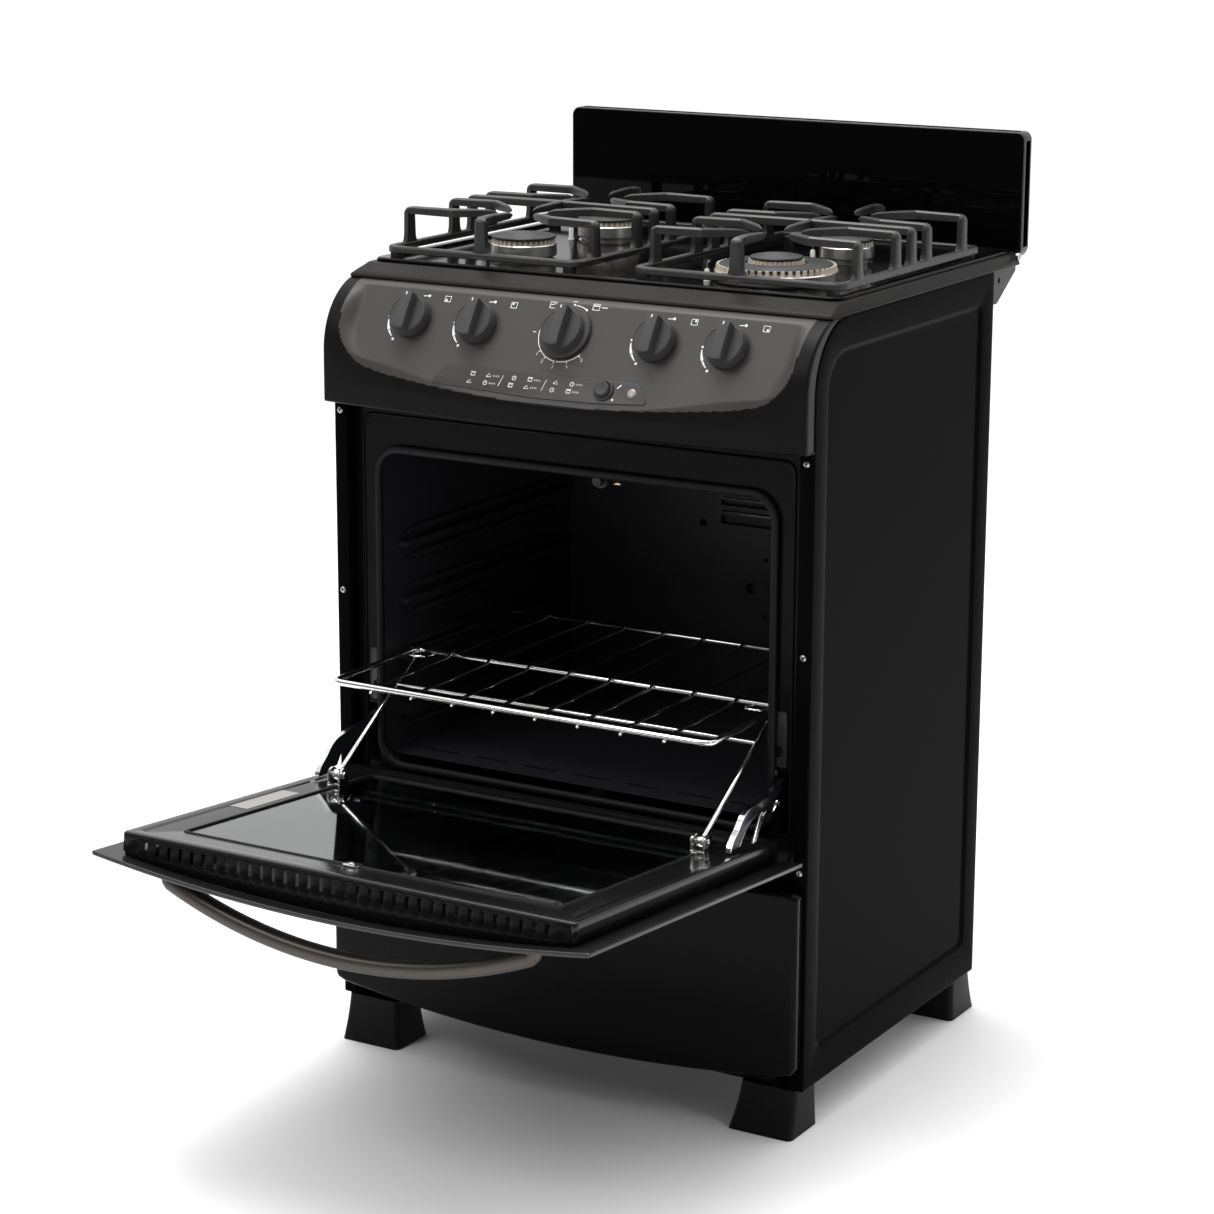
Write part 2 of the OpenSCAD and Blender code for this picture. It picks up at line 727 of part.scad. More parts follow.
module backguard_shell() {
    // steel tray behind the glass, with a downturned foot
    h = guard_top - top_z + 8;
    color([0.3, 0.29, 0.28]) difference() {
        facing(guard_y + 5.2, guard_t - 5) translate([0, guard_top - h / 2]) rounded(body_w, h, 9);
        facing(guard_y + 5.2 + sheet, guard_t) translate([0, guard_top - h / 2]) rounded(body_w - 2 * sheet, h - 2 * sheet, 8);
        for (i = [-5:5]) translate([i * 46 - 15, guard_y, guard_top - 40]) cube([30, 30, 6]);
    }
}

module rear_gussets() {
    // triangular brackets that carry the cooktop behind the cabinet
    color([0.1, 0.1, 0.1]) both_sides() difference() {
        span_x(xw - 12, xw - 8) polygon([[yb + 0.3, cabinet_top + 0.3], [plate_back + 7, cabinet_top + 0.3],
            [plate_back + 7, cabinet_top - 8], [yb + 26, cabinet_top - 40], [yb + 0.3, cabinet_top - 40]]);
        span_x(xw - 20, xw) translate([yb + 30, cabinet_top - 14]) circle(d = 7);
    }
}

module panel_screws() {
    color([0.6, 0.6, 0.6]) {
        both_sides() for (z = [mouth_z + 198, mouth_z - 150])
            translate([xw - flange_w / 2, yf - 1.9, z]) rotate([-90, 0, 0]) {
                cylinder(d = 7, h = 1.8);
                cylinder(d = 3.6, h = 9);
            }
        both_sides() for (z = [cabinet_top - 70, 420, foot_h + 40])
            translate([xw - 9, yb + 2.3, z]) rotate([90, 0, 0]) cylinder(d = 7, h = 2.2);
    }
}

// --- door ------------------------------------------------------------------

module door_skin() {
    color([0.02, 0.02, 0.02]) door_place() intersection() {
        difference() {
            bow_solid(0, door_z, door_top);
            bow_solid(skin_t, door_z - 1, door_top + 1);
        }
        facing(edge_y - bow - 5, bow + 30) translate([0, (door_z + door_top) / 2]) rounded(2 * door_half, door_h, 4);
    }
}

module door_pan() {
    t = sheet;
    gap = 0.3;
    color([0.07, 0.07, 0.07]) door_place() difference() {
        intersection() {
            translate([-pan_half, pan_y - 80, pan_lo]) cube([2 * pan_half, 80, pan_hi - pan_lo]);
            bow_solid(skin_t + gap, pan_lo - 1, pan_hi + 1);
        }
        translate([-pan_half + t, pan_y - 80, pan_lo + t]) cube([2 * (pan_half - t), 80 - t, pan_hi - pan_lo - 2 * t]);
        facing(pan_y - 20, 30) translate([0, (window_lo + window_hi) / 2])
            rounded(2 * window_half - 16, window_hi - window_lo - 16, 6);
        for (i = [0:vent_n - 1])
            translate([(i - (vent_n - 1) / 2) * vent_pitch - 2.5, pan_y - 21, pan_hi - 6]) cube([5, 14, 12]);
    }
}

module door_inner_glass() {
    color([0.1, 0.16, 0.15]) door_place() facing(pan_y - sheet - glass_t - 0.02, glass_t)
        translate([0, (window_lo + window_hi) / 2]) rounded(2 * window_half, window_hi - window_lo, 3);
}

module door_handle() {
    // bowed bar on two short posts
    tip_y = edge_y - bow - handle_reach + handle_d / 2;
    seat_y = bow_cy - sqrt(bow_r * bow_r - handle_half * handle_half);
    post = handle_d / 2 + 1.5;
    sag = seat_y - post - tip_y;
    r = (handle_half * handle_half + sag * sag) / (2 * sag);
    a = asin(handle_half / r);
    color([0.36, 0.34, 0.32]) door_place() {
        translate([0, tip_y + r, handle_z]) rotate([0, 0, 270 - a])
            rotate_extrude(angle = 2 * a, $fn = 128) translate([r, 0]) circle(d = handle_d, $fn = 32);
        for (s = [-1, 1]) translate([s * handle_half, seat_y - post, handle_z]) rotate([-90, 0, 0])
            cylinder(d = handle_d - 1, h = post - 1.2, $fn = 32);
    }
}

module arc_band(r0, r1, a0, a1) {
    // part of a flat ring about the origin between two angles
    intersection() {
        difference() {
            circle(r = r1);
            circle(r = r0);
        }
        polygon([[0, 0], for (k = [0:6]) 2 * r1 * [cos(a0 + (a1 - a0) * k / 6), sin(a0 + (a1 - a0) * k / 6)]]);
    }
}

module hinge_arms() {
    // curved arms fixed to the door that slide through slots in the front frame
    color([0.25, 0.28, 0.3]) both_sides() {
        span_x(arm_x - 3, arm_x + 1) intersection() {
            translate([hinge_y, hinge_z]) {
                arc_band(58, 80, 72, 160);
                rotate(159) translate([58, -1]) square([32, 26]);
            }
            above_face();
        }
        span_x(arm_x - 6, arm_x + 1) translate([hinge_y, hinge_z]) arc_band(76, 80, 72, 160);
    }
}

module hinge_links() {
    // bright link plates between the door and the hinge receivers
    color([0.8, 0.8, 0.8]) both_sides() span_x(arm_x + 4, arm_x + 7) intersection() {
        translate([hinge_y, hinge_z]) difference() {
            arc_band(40, 50, 84, 170);
            rotate(90) translate([45, 0]) circle(d = 4);
        }
        above_face();
    }
}

module rod_brackets() {
    // two-eared brackets on the door with the pins that the pull frame turns on
    color([0.7, 0.7, 0.7]) both_sides() {
        for (dx = [-8, 5]) span_x(rod_x + dx, rod_x + dx + 3) difference() {
            union() {
                translate([pin_y, pin_z]) circle(r = 8);
                polygon([[pin_y - 8, pin_z], [pin_y - 8, face_z(pin_y - 8)], [pin_y + 8, face_z(pin_y + 8)],
                    [pin_y + 8, pin_z]]);
            }
            translate([pin_y, pin_z]) circle(d = pin_d + 0.02);
        }
        translate([rod_x - 9.5, pin_y, pin_z]) rotate([0, 90, 0]) cylinder(d = pin_d, h = 19);
    }
}

// height of the open door's inner face at depth y
function face_z(y) = hinge_z + (pan_y - hinge_y - (y - hinge_y) * cos(door_open)) / sin(door_open) + 0.02;

module above_face() {
    // the space over the open door's inner face, seen from the side
    polygon([[hinge_y - 200, face_z(hinge_y - 200)], [hinge_y + 200, face_z(hinge_y + 200)],
        [hinge_y + 200, 600], [hinge_y - 200, 600]]);
}

module pull_frame() {
    // two rods joined by a cross bar; their free ends reach the rack's middle bar
    cross = 0.72;
    color([0.75, 0.76, 0.78]) {
        both_sides() {
            difference() {
                translate([rod_x - 4, pin_y, pin_z]) rotate([0, 90, 0]) cylinder(d = 12, h = 8);
                translate([rod_x - 5, pin_y, pin_z]) rotate([0, 90, 0]) cylinder(d = pin_d + 2 * run_fit, h = 10);
            }
            translate([rod_x, pin_y, pin_z]) rotate([rod_angle, 0, 0]) {
                translate([0, 4.5, 0]) rotate([-90, 0, 0]) cylinder(d = rod_d, h = rod_len - 15, $fn = 24);
            }
        }
        tube([-rod_x, pin_y + cross * rod_dx, pin_z + cross * rod_dz],
            [rod_x, pin_y + cross * rod_dx, pin_z + cross * rod_dz], rod_d);
    }
}

module oven_rack() {
    r = rack_wire;
    back = rack_front + rack_depth;
    n = 8;
    x0 = rack_half - r / 2;
    pitch = 2 * x0 / (n + 1);
    c = 18;
    color([0.8, 0.8, 0.8]) {
        // outer frame with rounded front corners
        tube([-x0 + c, rack_front + r / 2, rack_z], [x0 - c, rack_front + r / 2, rack_z], r);
        both_sides() {
            tube([x0, rack_front + r / 2 + c, rack_z], [x0, back, rack_z], r);
            translate([x0 - c, rack_front + r / 2 + c, rack_z]) rotate([0, 0, -90])
                rotate_extrude(angle = 90, $fn = 64) translate([c, 0]) circle(d = r, $fn = 24);
        }
        tube([-x0, back - r / 2, rack_z], [x0, back - r / 2, rack_z], 5);
        tube([-x0, bar_y, rack_z], [x0, bar_y, rack_z], 6);
        for (i = [1:n]) tube([-x0 + i * pitch, rack_front + r / 2, rack_z], [-x0 + i * pitch, back - r / 2, rack_z], 3.6);
    }
}

// --- drawer ----------------------------------------------------------------

module drawer_outline() {
    // front outline with a bottom edge that sags towards the middle
    sag = 14;
    h = door_half;
    r = (h * h + sag * sag) / (2 * sag);
    intersection() {
        translate([-h, drawer_bottom - sag]) square([2 * h, drawer_top - drawer_bottom + sag]);
        translate([0, drawer_bottom - sag + r]) circle(r = r, $fn = 256);
    }
}

module drawer_front() {
    back_y = edge_y + 17;
    color([0.03, 0.03, 0.03]) intersection() {
        difference() {
            bow_solid(0, drawer_bottom - 20, drawer_top);
            intersection() {
                bow_solid(sheet + 0.8, 0, drawer_top - sheet);
                translate([-door_half + sheet, -big / 2, 0]) cube([2 * (door_half - sheet), big, drawer_top - sheet]);
            }
            translate([-xw, back_y, 0]) cube([body_w, big * 2, 900]);
        }
        facing(edge_y - bow - 5, 200) drawer_outline();
    }
}

module drawer_box() {
    y0 = edge_y - bow;
    y1 = yf + drawer_depth;
    z0 = box_bottom;
    skin = sheet + 0.8;
    color([0.5, 0.5, 0.5]) difference() {
        intersection() {
            translate([-box_half, y0, z0]) cube([2 * box_half, y1 - y0, box_top - z0]);
            bow_solid(skin + 0.1, z0 - 1, box_top + 1);
        }
        intersection() {
            translate([-box_half + sheet, y0, z0 + sheet])
                cube([2 * (box_half - sheet), y1 - y0 - sheet, box_top - z0]);
            bow_solid(skin + 0.1 + sheet, z0, box_top + 5);
        }
    }
    color([0.5, 0.5, 0.5]) both_sides() translate([box_half - 0.2, frame_y + 4, z0 + 60]) cube([6, drawer_depth - 30, 8]);
}

module drawer_runners() {
    // rails on the cabinet's sides that carry the drawer box
    z = box_bottom + 60;
    color([0.6, 0.6, 0.6]) both_sides() difference() {
        translate([box_half + 1.5, frame_y + 2, z - 4])
            cube([xw - emboss - sheet - 0.1 - box_half - 1.5, drawer_depth - 26, 16]);
        translate([box_half, frame_y, z - 0.4]) cube([6.8, drawer_depth, 8.8]);
        translate([box_half + 9, frame_y, z - 2]) cube([40, drawer_depth, 16]);
    }
}

base_frame();
feet();
side_panel_left();
side_panel_right();
back_panel();
front_frame();
oven_liner();
oven_gasket();
oven_floor();
oven_burner();
broiler_burner();
insulation();
hinge_receivers();
control_panel();
label_plate();
button_ring();
igniter_button();
indicator_lens();
valve_bodies();
gas_manifold();
feed_tubes();
stem_1();
stem_2();
stem_3();
stem_4();
stem_5();
knob_1();
knob_2();
knob_3();
knob_4();
knob_5();
cooktop_trim();
cooktop_plate();
burner_crowns();
electrodes();
cap_1();
cap_2();
cap_3();
cap_4();
grate_left();
grate_right();
backguard_glass();
backguard_shell();
rear_gussets();
panel_screws();
door_skin();
door_pan();
door_inner_glass();
door_handle();
hinge_arms();
hinge_links();
rod_brackets();
pull_frame();
oven_rack();
drawer_front();
drawer_box();
drawer_runners();
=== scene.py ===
"""Finished look of a freestanding gas range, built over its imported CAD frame.

Lengths in the classes are millimetres in the frame's own axes (+Z up, front towards -Y, +X right);
Shell.place turns them into metres when it makes the mesh.
"""

import logging
import math
from dataclasses import dataclass
from enum import Enum
from typing import Callable, Iterable, Optional, Sequence

import bmesh
import bpy
import numpy as np
from mathutils import Matrix


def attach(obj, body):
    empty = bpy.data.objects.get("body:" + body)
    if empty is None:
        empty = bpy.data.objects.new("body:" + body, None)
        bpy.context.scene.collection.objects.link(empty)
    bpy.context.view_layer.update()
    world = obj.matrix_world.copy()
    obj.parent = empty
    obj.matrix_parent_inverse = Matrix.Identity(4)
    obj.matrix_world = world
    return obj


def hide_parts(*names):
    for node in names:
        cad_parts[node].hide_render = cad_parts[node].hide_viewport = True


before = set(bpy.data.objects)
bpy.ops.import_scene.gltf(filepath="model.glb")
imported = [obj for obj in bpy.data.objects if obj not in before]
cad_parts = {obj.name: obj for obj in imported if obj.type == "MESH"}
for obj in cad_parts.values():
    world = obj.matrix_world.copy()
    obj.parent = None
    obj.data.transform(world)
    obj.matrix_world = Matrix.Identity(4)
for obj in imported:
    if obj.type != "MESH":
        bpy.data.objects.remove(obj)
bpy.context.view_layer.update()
LOG = logging.getLogger("range")
MM = 0.001


# --- shapes -----------------------------------------------------------------


@dataclass
class Shell:
    """Points in millimetres and the faces over them."""

    points: np.ndarray
    faces: list

    def __add__(self, other: "Shell") -> "Shell":
        """Both shells in one mesh."""
        shift = len(self.points)
        moved = [[i + shift for i in f] for f in other.faces]
        return Shell(np.vstack([self.points, other.points]), self.faces + moved)

    def turned(self, matrix: np.ndarray, offset: Sequence[float] = (0, 0, 0)) -> "Shell":
        """The shell under a 3x3 turn and then a shift."""
        return Shell(self.points @ np.asarray(matrix).T + np.asarray(offset, float), self.faces)

    def moved(self, x: float = 0, y: float = 0, z: float = 0) -> "Shell":
        """The shell shifted by x, y and z."""
        return Shell(self.points + np.array([x, y, z], float), self.faces)

    def mirrored(self) -> "Shell":
        """The shell mirrored left to right, with its faces turned back outwards."""
        return Shell(self.points * np.array([-1.0, 1, 1]), [f[::-1] for f in self.faces])

    def place(
        self,
        name: str,
        finish: "Finish",
        body: str,
        replaces: Sequence[str] = (),
        slot: Optional[str] = None,
        angle: float = 35,
        solidify: float = 0,
        outward: bool = True,
    ) -> bpy.types.Object:
        """Makes the mesh object, dresses it and ties it to its body.

        Args:
            name: the piece's name.
            finish: what it is made of.
            body: the CAD body it rides on.
            replaces: the CAD nodes it stands for.
            slot: the record's material slot name; not used.
            angle: edges sharper than this, in degrees, stay sharp.
            solidify: wall thickness for an open sheet, in millimetres.
            outward: recalculates the normals so that a closed shell faces outwards.

        Returns:
            The finished object.
        """
        mesh = bpy.data.meshes.new(name)
        mesh.from_pydata((self.points * MM).tolist(), [], self.faces)
        if outward:
            work = bmesh.new()
            work.from_mesh(mesh)
            bmesh.ops.remove_doubles(work, verts=work.verts, dist=2e-6)
            bmesh.ops.recalc_face_normals(work, faces=work.faces)
            work.to_mesh(mesh)
            work.free()
        mesh.polygons.foreach_set("use_smooth", np.ones(len(mesh.polygons), bool))
        mesh.set_sharp_from_angle(angle=math.radians(angle))
        mesh.materials.append(finish.material())
        piece = bpy.data.objects.new(name, mesh)
        bpy.context.scene.collection.objects.link(piece)
        if solidify:
            wall = piece.modifiers.new("wall", "SOLIDIFY")
            wall.thickness, wall.offset = solidify * MM, -1
        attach(piece, body)
        if replaces:
            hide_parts(*replaces)
        LOG.info("%s: %d faces on %s", name, len(self.faces), body)
        return piece


def join(shells: Iterable[Shell]) -> Shell:
    """One shell from several."""
    parts = list(shells)
    sizes = np.cumsum([0] + [len(p.points) for p in parts])
    faces = [[i + int(s) for i in f] for p, s in zip(parts, sizes) for f in p.faces]
    return Shell(np.vstack([p.points for p in parts]), faces)


def both_sides(*shells: Shell) -> Shell:
    """The shells and their mirror images, as one."""
    return join(part for shell in shells for part in (shell, shell.mirrored()))


def quads(rings: int, around: int, closed: bool = True, loop: bool = False) -> list:
    """Faces of a grid of rings x around points, stored ring by ring.

    Args:
        rings: how many rings.
        around: how many points in one ring.
        closed: each ring joins up with itself.
        loop: the last ring joins the first.

    Returns:
        A list of quads.
    """
    i = np.arange(rings if loop else rings - 1)[:, None]
    j = np.arange(around if closed else around - 1)[None, :]
    k, l = (i + 1) % rings, (j + 1) % around
    return np.stack(
        [i * around + j, i * around + l, k * around + l, k * around + j], -1
    ).reshape(-1, 4).tolist()


def loft(rings: np.ndarray, caps: bool = True, loop: bool = False) -> Shell:
    """A skin over closed rings of shape (rings, around, 3), with flat caps at both ends unless it loops."""
    n, m, _ = rings.shape
    faces = quads(n, m, True, loop)
    if caps and not loop:
        faces += [list(range(m))[::-1], list(range((n - 1) * m, n * m))]
    return Shell(rings.reshape(-1, 3), faces)


def sheet(points: np.ndarray) -> Shell:
    """An open sheet over a (rows, columns, 3) grid."""
    n, m, _ = points.shape
    return Shell(points.reshape(-1, 3), quads(n, m, False))


def rounded_box(x0: float, x1: float, y0: float, y1: float, r: float, n: int = 8) -> np.ndarray:
    """Outline of a rectangle with round corners, 4n points, anticlockwise from the right bottom corner.

    Each corner is an arc: its centre plus r times (cos a, sin a).
    """
    r = min(r, (x1 - x0) / 2 - 1e-3, (y1 - y0) / 2 - 1e-3)
    a = np.linspace(0, math.pi / 2, n)[None, :] + np.array([-1, 0, 1, 2])[:, None] * math.pi / 2
    cx = np.array([x1 - r, x1 - r, x0 + r, x0 + r])[:, None]
    cy = np.array([y0 + r, y1 - r, y1 - r, y0 + r])[:, None]
    return np.stack([cx + r * np.cos(a), cy + r * np.sin(a)], -1).reshape(-1, 2)


def inset(outline: np.ndarray, by: float) -> np.ndarray:
    """A closed anticlockwise outline moved inwards along its own normals, the mean of its edges' normals."""
    edge = np.roll(outline, -1, 0) - outline
    edge /= np.maximum(np.linalg.norm(edge, axis=1, keepdims=True), 1e-9)
    normal = np.stack([-edge[:, 1], edge[:, 0]], -1)
    mean = normal + np.roll(normal, 1, 0)
    mean /= np.maximum((mean * mean).sum(1, keepdims=True), 0.5) / 2
    return outline + by * mean


def slab(
    outline: np.ndarray, z0: float, z1: float, edge: float = 1, steps: int = 3, foot: float = 0
) -> Shell:
    """A plate over an outline, its rims rounded by quarter circles of radius edge.

    Ring k of the rim lies edge(1 - cos a) inwards and edge(1 - sin a) short of the face.

    Args:
        outline: closed anticlockwise outline.
        z0: lower face.
        z1: upper face.
        edge: rim radius.
        steps: rings in a rim.
        foot: rim radius of the lower face, or 0 for the same sharp face.

    Returns:
        The closed plate, standing along Z.
    """
    a = np.linspace(0, math.pi / 2, steps + 1)
    top = [(edge * (1 - math.cos(t)), z1 - edge + edge * math.sin(t)) for t in a]
    low = [(foot * (1 - math.cos(t)), z0 + foot - foot * math.sin(t)) for t in a[::-1]] if foot else [(0, z0)]
    rings = [np.column_stack([inset(outline, d), np.full(len(outline), z)]) for d, z in low + top]
    return loft(np.array(rings))


def revolve(profile: Sequence[Sequence[float]], n: int = 64, wave: Optional[Callable] = None) -> Shell:
    """A solid of revolution about Z: (r, z) goes to (r cos a, r sin a, z).

    Args:
        profile: radius and height pairs from the axis out and back, radii above 0.
        n: points around.
        wave: gives new radii from (radius, height, angle) arrays, for teeth and flutes.

    Returns:
        The closed solid.
    """
    rz = np.asarray(profile, float)
    a = np.arange(n) * 2 * math.pi / n
    r = np.repeat(np.maximum(rz[:, :1], 0.02), n, 1)
    z = np.repeat(rz[:, 1:], n, 1)
    if wave is not None:
        r = wave(r, z, a[None, :])
    return loft(np.stack([r * np.cos(a), r * np.sin(a), z], -1))


def ring_solid(profile: Sequence[Sequence[float]], n: int = 64, wave: Optional[Callable] = None) -> Shell:
    """A ring: a closed (r, z) outline carried round Z, with no caps."""
    rz = np.asarray(profile, float)
    a = np.arange(n) * 2 * math.pi / n
    r, z = np.repeat(rz[:, :1], n, 1), np.repeat(rz[:, 1:], n, 1)
    if wave is not None:
        r = wave(r, z, a[None, :])
    return loft(np.stack([r * np.cos(a), r * np.sin(a), z], -1), loop=True)


def rounded_path(points: Sequence[Sequence[float]], r: float, n: int = 6) -> np.ndarray:
    """A path through the points whose corners are quadratic curves that start r before each corner."""
    p = [np.asarray(q, float) for q in points]
    out = [p[0][None]]
    t = np.linspace(0, 1, n)[:, None]
    for a, b, c in zip(p, p[1:], p[2:]):
        near = min(r, np.linalg.norm(b - a) * 0.49, np.linalg.norm(c - b) * 0.49)
        s, e = b + (a - b) / np.linalg.norm(a - b) * near, b + (c - b) / np.linalg.norm(c - b) * near
        out.append((1 - t) ** 2 * s + 2 * t * (1 - t) * b + t**2 * e)
    return np.vstack(out + [p[-1][None]])


def carry(
    path: np.ndarray, section: np.ndarray, up: Sequence[float] = (0, 0, 1),
    scale: Optional[np.ndarray] = None
) -> Shell:
    """A section carried along a path: point = path + u side + v top, where side = tangent x up.

    Args:
        path: (n, 3) points.
        section: (m, 2) closed outline across the path.
        up: direction that stays as near as possible to the section's top.
        scale: (n, 2) factors on the section along the path.

    Returns:
        The closed bar.
    """
    t = np.gradient(path, axis=0)
    t /= np.linalg.norm(t, axis=1, keepdims=True)
    side = np.cross(t, np.asarray(up, float))
    side /= np.maximum(np.linalg.norm(side, axis=1, keepdims=True), 1e-9)
    top = np.cross(side, t)
    k = np.ones((len(path), 2)) if scale is None else scale
    s = section[None] * k[:, None, :]
    return loft(path[:, None] + s[..., :1] * side[:, None] + s[..., 1:] * top[:, None])


def circle(r: float, n: int = 12) -> np.ndarray:
    """n points on a circle."""
    a = np.arange(n) * 2 * math.pi / n
    return np.column_stack([r * np.cos(a), r * np.sin(a)])


def wire(
    points: Sequence[Sequence[float]], d: float, bend: float = 0, up: Sequence[float] = (0, 0, 1),
    n: int = 10
) -> Shell:
    """Round wire of diameter d along points, its corners bent at radius bend, its ends slightly rounded."""
    path = rounded_path(points, bend) if bend else np.asarray(points, float)
    first, last = path[1] - path[0], path[-2] - path[-1]
    step = min(d / 4, np.linalg.norm(first) / 3, np.linalg.norm(last) / 3)
    a = path[0] + first / np.linalg.norm(first) * step
    b = path[-1] + last / np.linalg.norm(last) * step
    path = np.vstack([path[:1], a[None], path[1:-1], b[None], path[-1:]])
    k = np.ones((len(path), 2))
    k[[0, -1]] = 0.6
    return carry(path, circle(d / 2, n), up, k)


# Axes of a shape drawn in the XY plane and raised along Z, stood up to face the front or a side
TO_FRONT = np.array([[1.0, 0, 0], [0, 0, -1], [0, 1, 0]])  # drawn (x, z), raised towards the front
TO_BACK = np.array([[-1.0, 0, 0], [0, 0, 1], [0, 1, 0]])  # drawn (-x, z), raised towards the back
TO_RIGHT = np.array([[0.0, 0, 1], [1, 0, 0], [0, 1, 0]])  # drawn (y, z), raised towards the right
INTO_OVEN = TO_BACK @ np.diag([-1.0, 1, 1])  # drawn (x, z), raised towards the back


def turn_x(degrees: float) -> np.ndarray:
    """Turn about X."""
    c, s = math.cos(math.radians(degrees)), math.sin(math.radians(degrees))
    return np.array([[1, 0, 0], [0, c, -s], [0, s, c]])


def smooth(t: np.ndarray) -> np.ndarray:
    """Smooth step: 0 below 0, 1 above 1, and 3t2 - 2t3 between."""
    t = np.clip(t, 0, 1)
    return t * t * (3 - 2 * t)


# --- finishes ---------------------------------------------------------------


class Texture(Enum):
    """What the surface shows close up."""

    GLOSS = "even gloss with a faint waviness"
    SATIN = "fine orange peel"
    CAST = "grainy casting under enamel"
    BRUSHED = "fine scratches one way"
    SPANGLE = "zinc crystals"
    ENAMEL = "speckled enamel"
    WEAVE = "braided seal"
    WOOL = "loose fibres"
    MOULDED = "spark-eroded plastic"


@dataclass(frozen=True)
class Finish:
    """A finish: its colour, gloss and close-up texture as a node material."""

    name: str
    colour: tuple
    roughness: float
    metallic: float = 0.0
    texture: Texture = Texture.SATIN
    vary: float = 0.12
    bump: float = 0.1
    grain: float = 1.0
    coat: float = 0.0
    specular: float = 0.5
    ior: float = 1.5
    see_through: float = 0.0
    along: tuple = (1.0, 1.0, 1.0)

    def material(self) -> bpy.types.Material:
        """The material, made once and shared.

        Returns:
            A material whose colour and roughness wander with noise, and whose bump follows the texture.
        """
        ready = bpy.data.materials.get(self.name)
        if ready:
            return ready
        made = bpy.data.materials.new(self.name)
        made.use_nodes = True
        tree = made.node_tree
        shader = tree.nodes["Principled BSDF"]
        shader.inputs["Metallic"].default_value = self.metallic
        shader.inputs["Specular IOR Level"].default_value = self.specular
        shader.inputs["Coat Weight"].default_value = self.coat
        shader.inputs["Coat Roughness"].default_value = 0.08
        shader.inputs["Transmission Weight"].default_value = self.see_through
        shader.inputs["IOR"].default_value = self.ior
        place = tree.nodes.new("ShaderNodeTexCoord")
        mapping = tree.nodes.new("ShaderNodeMapping")
        mapping.inputs["Scale"].default_value = self.along
        tree.links.new(place.outputs["Object"], mapping.inputs["Vector"])
        wander = self._noise(tree, mapping, 9, 3)
        fine = self._fine(tree, mapping)
        tint = tree.nodes.new("ShaderNodeMapRange")
        tint.inputs["To Min"].default_value = 1 - self.vary
        tint.inputs["To Max"].default_value = 1 + self.vary
        mixed = tree.nodes.new("ShaderNodeMath")
        mixed.operation = "MULTIPLY_ADD"
        mixed.inputs[1].default_value = 0.5
        tree.links.new(fine, mixed.inputs[0])
        half = tree.nodes.new("ShaderNodeMath")
        half.operation = "MULTIPLY"
        half.inputs[1].default_value = 0.5
        tree.links.new(wander, half.inputs[0])
        tree.links.new(half.outputs[0], mixed.inputs[2])
        tree.links.new(mixed.outputs[0], tint.inputs["Value"])
        colour = tree.nodes.new("ShaderNodeVectorMath")
        colour.operation = "SCALE"
        colour.inputs[0].default_value = self.colour
        tree.links.new(tint.outputs[0], colour.inputs["Scale"])
        tree.links.new(colour.outputs[0], shader.inputs["Base Color"])
        rough = tree.nodes.new("ShaderNodeMapRange")
        rough.inputs["From Min"].default_value, rough.inputs["From Max"].default_value = 0.3, 0.7
        rough.inputs["To Min"].default_value = self.roughness * 0.82
        rough.inputs["To Max"].default_value = min(1, self.roughness * 1.2)
        tree.links.new(wander, rough.inputs["Value"])
        tree.links.new(rough.outputs[0], shader.inputs["Roughness"])
        bump = tree.nodes.new("ShaderNodeBump")
        bump.inputs["Strength"].default_value = self.bump
        bump.inputs["Distance"].default_value = 0.0004
        tree.links.new(fine, bump.inputs["Height"])
        tree.links.new(bump.outputs[0], shader.inputs["Normal"])
        made.diffuse_color = (*self.colour, 1)
        return made

    def _noise(
        self, tree: bpy.types.NodeTree, mapping: bpy.types.Node, scale: float, detail: float
    ) -> bpy.types.NodeSocket:
        """A noise value over the piece at the scale given."""
        noise = tree.nodes.new("ShaderNodeTexNoise")
        noise.inputs["Scale"].default_value = scale
        noise.inputs["Detail"].default_value = detail
        tree.links.new(mapping.outputs[0], noise.inputs["Vector"])
        return noise.outputs[0]

    def _fine(self, tree: bpy.types.NodeTree, mapping: bpy.types.Node) -> bpy.types.NodeSocket:
        """The close-up pattern of this texture."""
        scales = {
            Texture.GLOSS: 160,
            Texture.SATIN: 1100,
            Texture.CAST: 900,
            Texture.BRUSHED: 500,
            Texture.ENAMEL: 1500,
            Texture.WOOL: 420,
            Texture.MOULDED: 1700,
        }
        if self.texture in scales:
            return self._noise(tree, mapping, scales[self.texture] * self.grain, 4)
        if self.texture is Texture.SPANGLE:
            cells = tree.nodes.new("ShaderNodeTexVoronoi")
            cells.inputs["Scale"].default_value = 130 * self.grain
            tree.links.new(mapping.outputs[0], cells.inputs["Vector"])
            return cells.outputs["Distance"]
        weave = tree.nodes.new("ShaderNodeTexWave")
        weave.inputs["Scale"].default_value = 160 * self.grain
        weave.inputs["Distortion"].default_value = 1.5
        weave.bands_direction = "DIAGONAL"
        tree.links.new(mapping.outputs[0], weave.inputs["Vector"])
        return weave.outputs["Fac"]


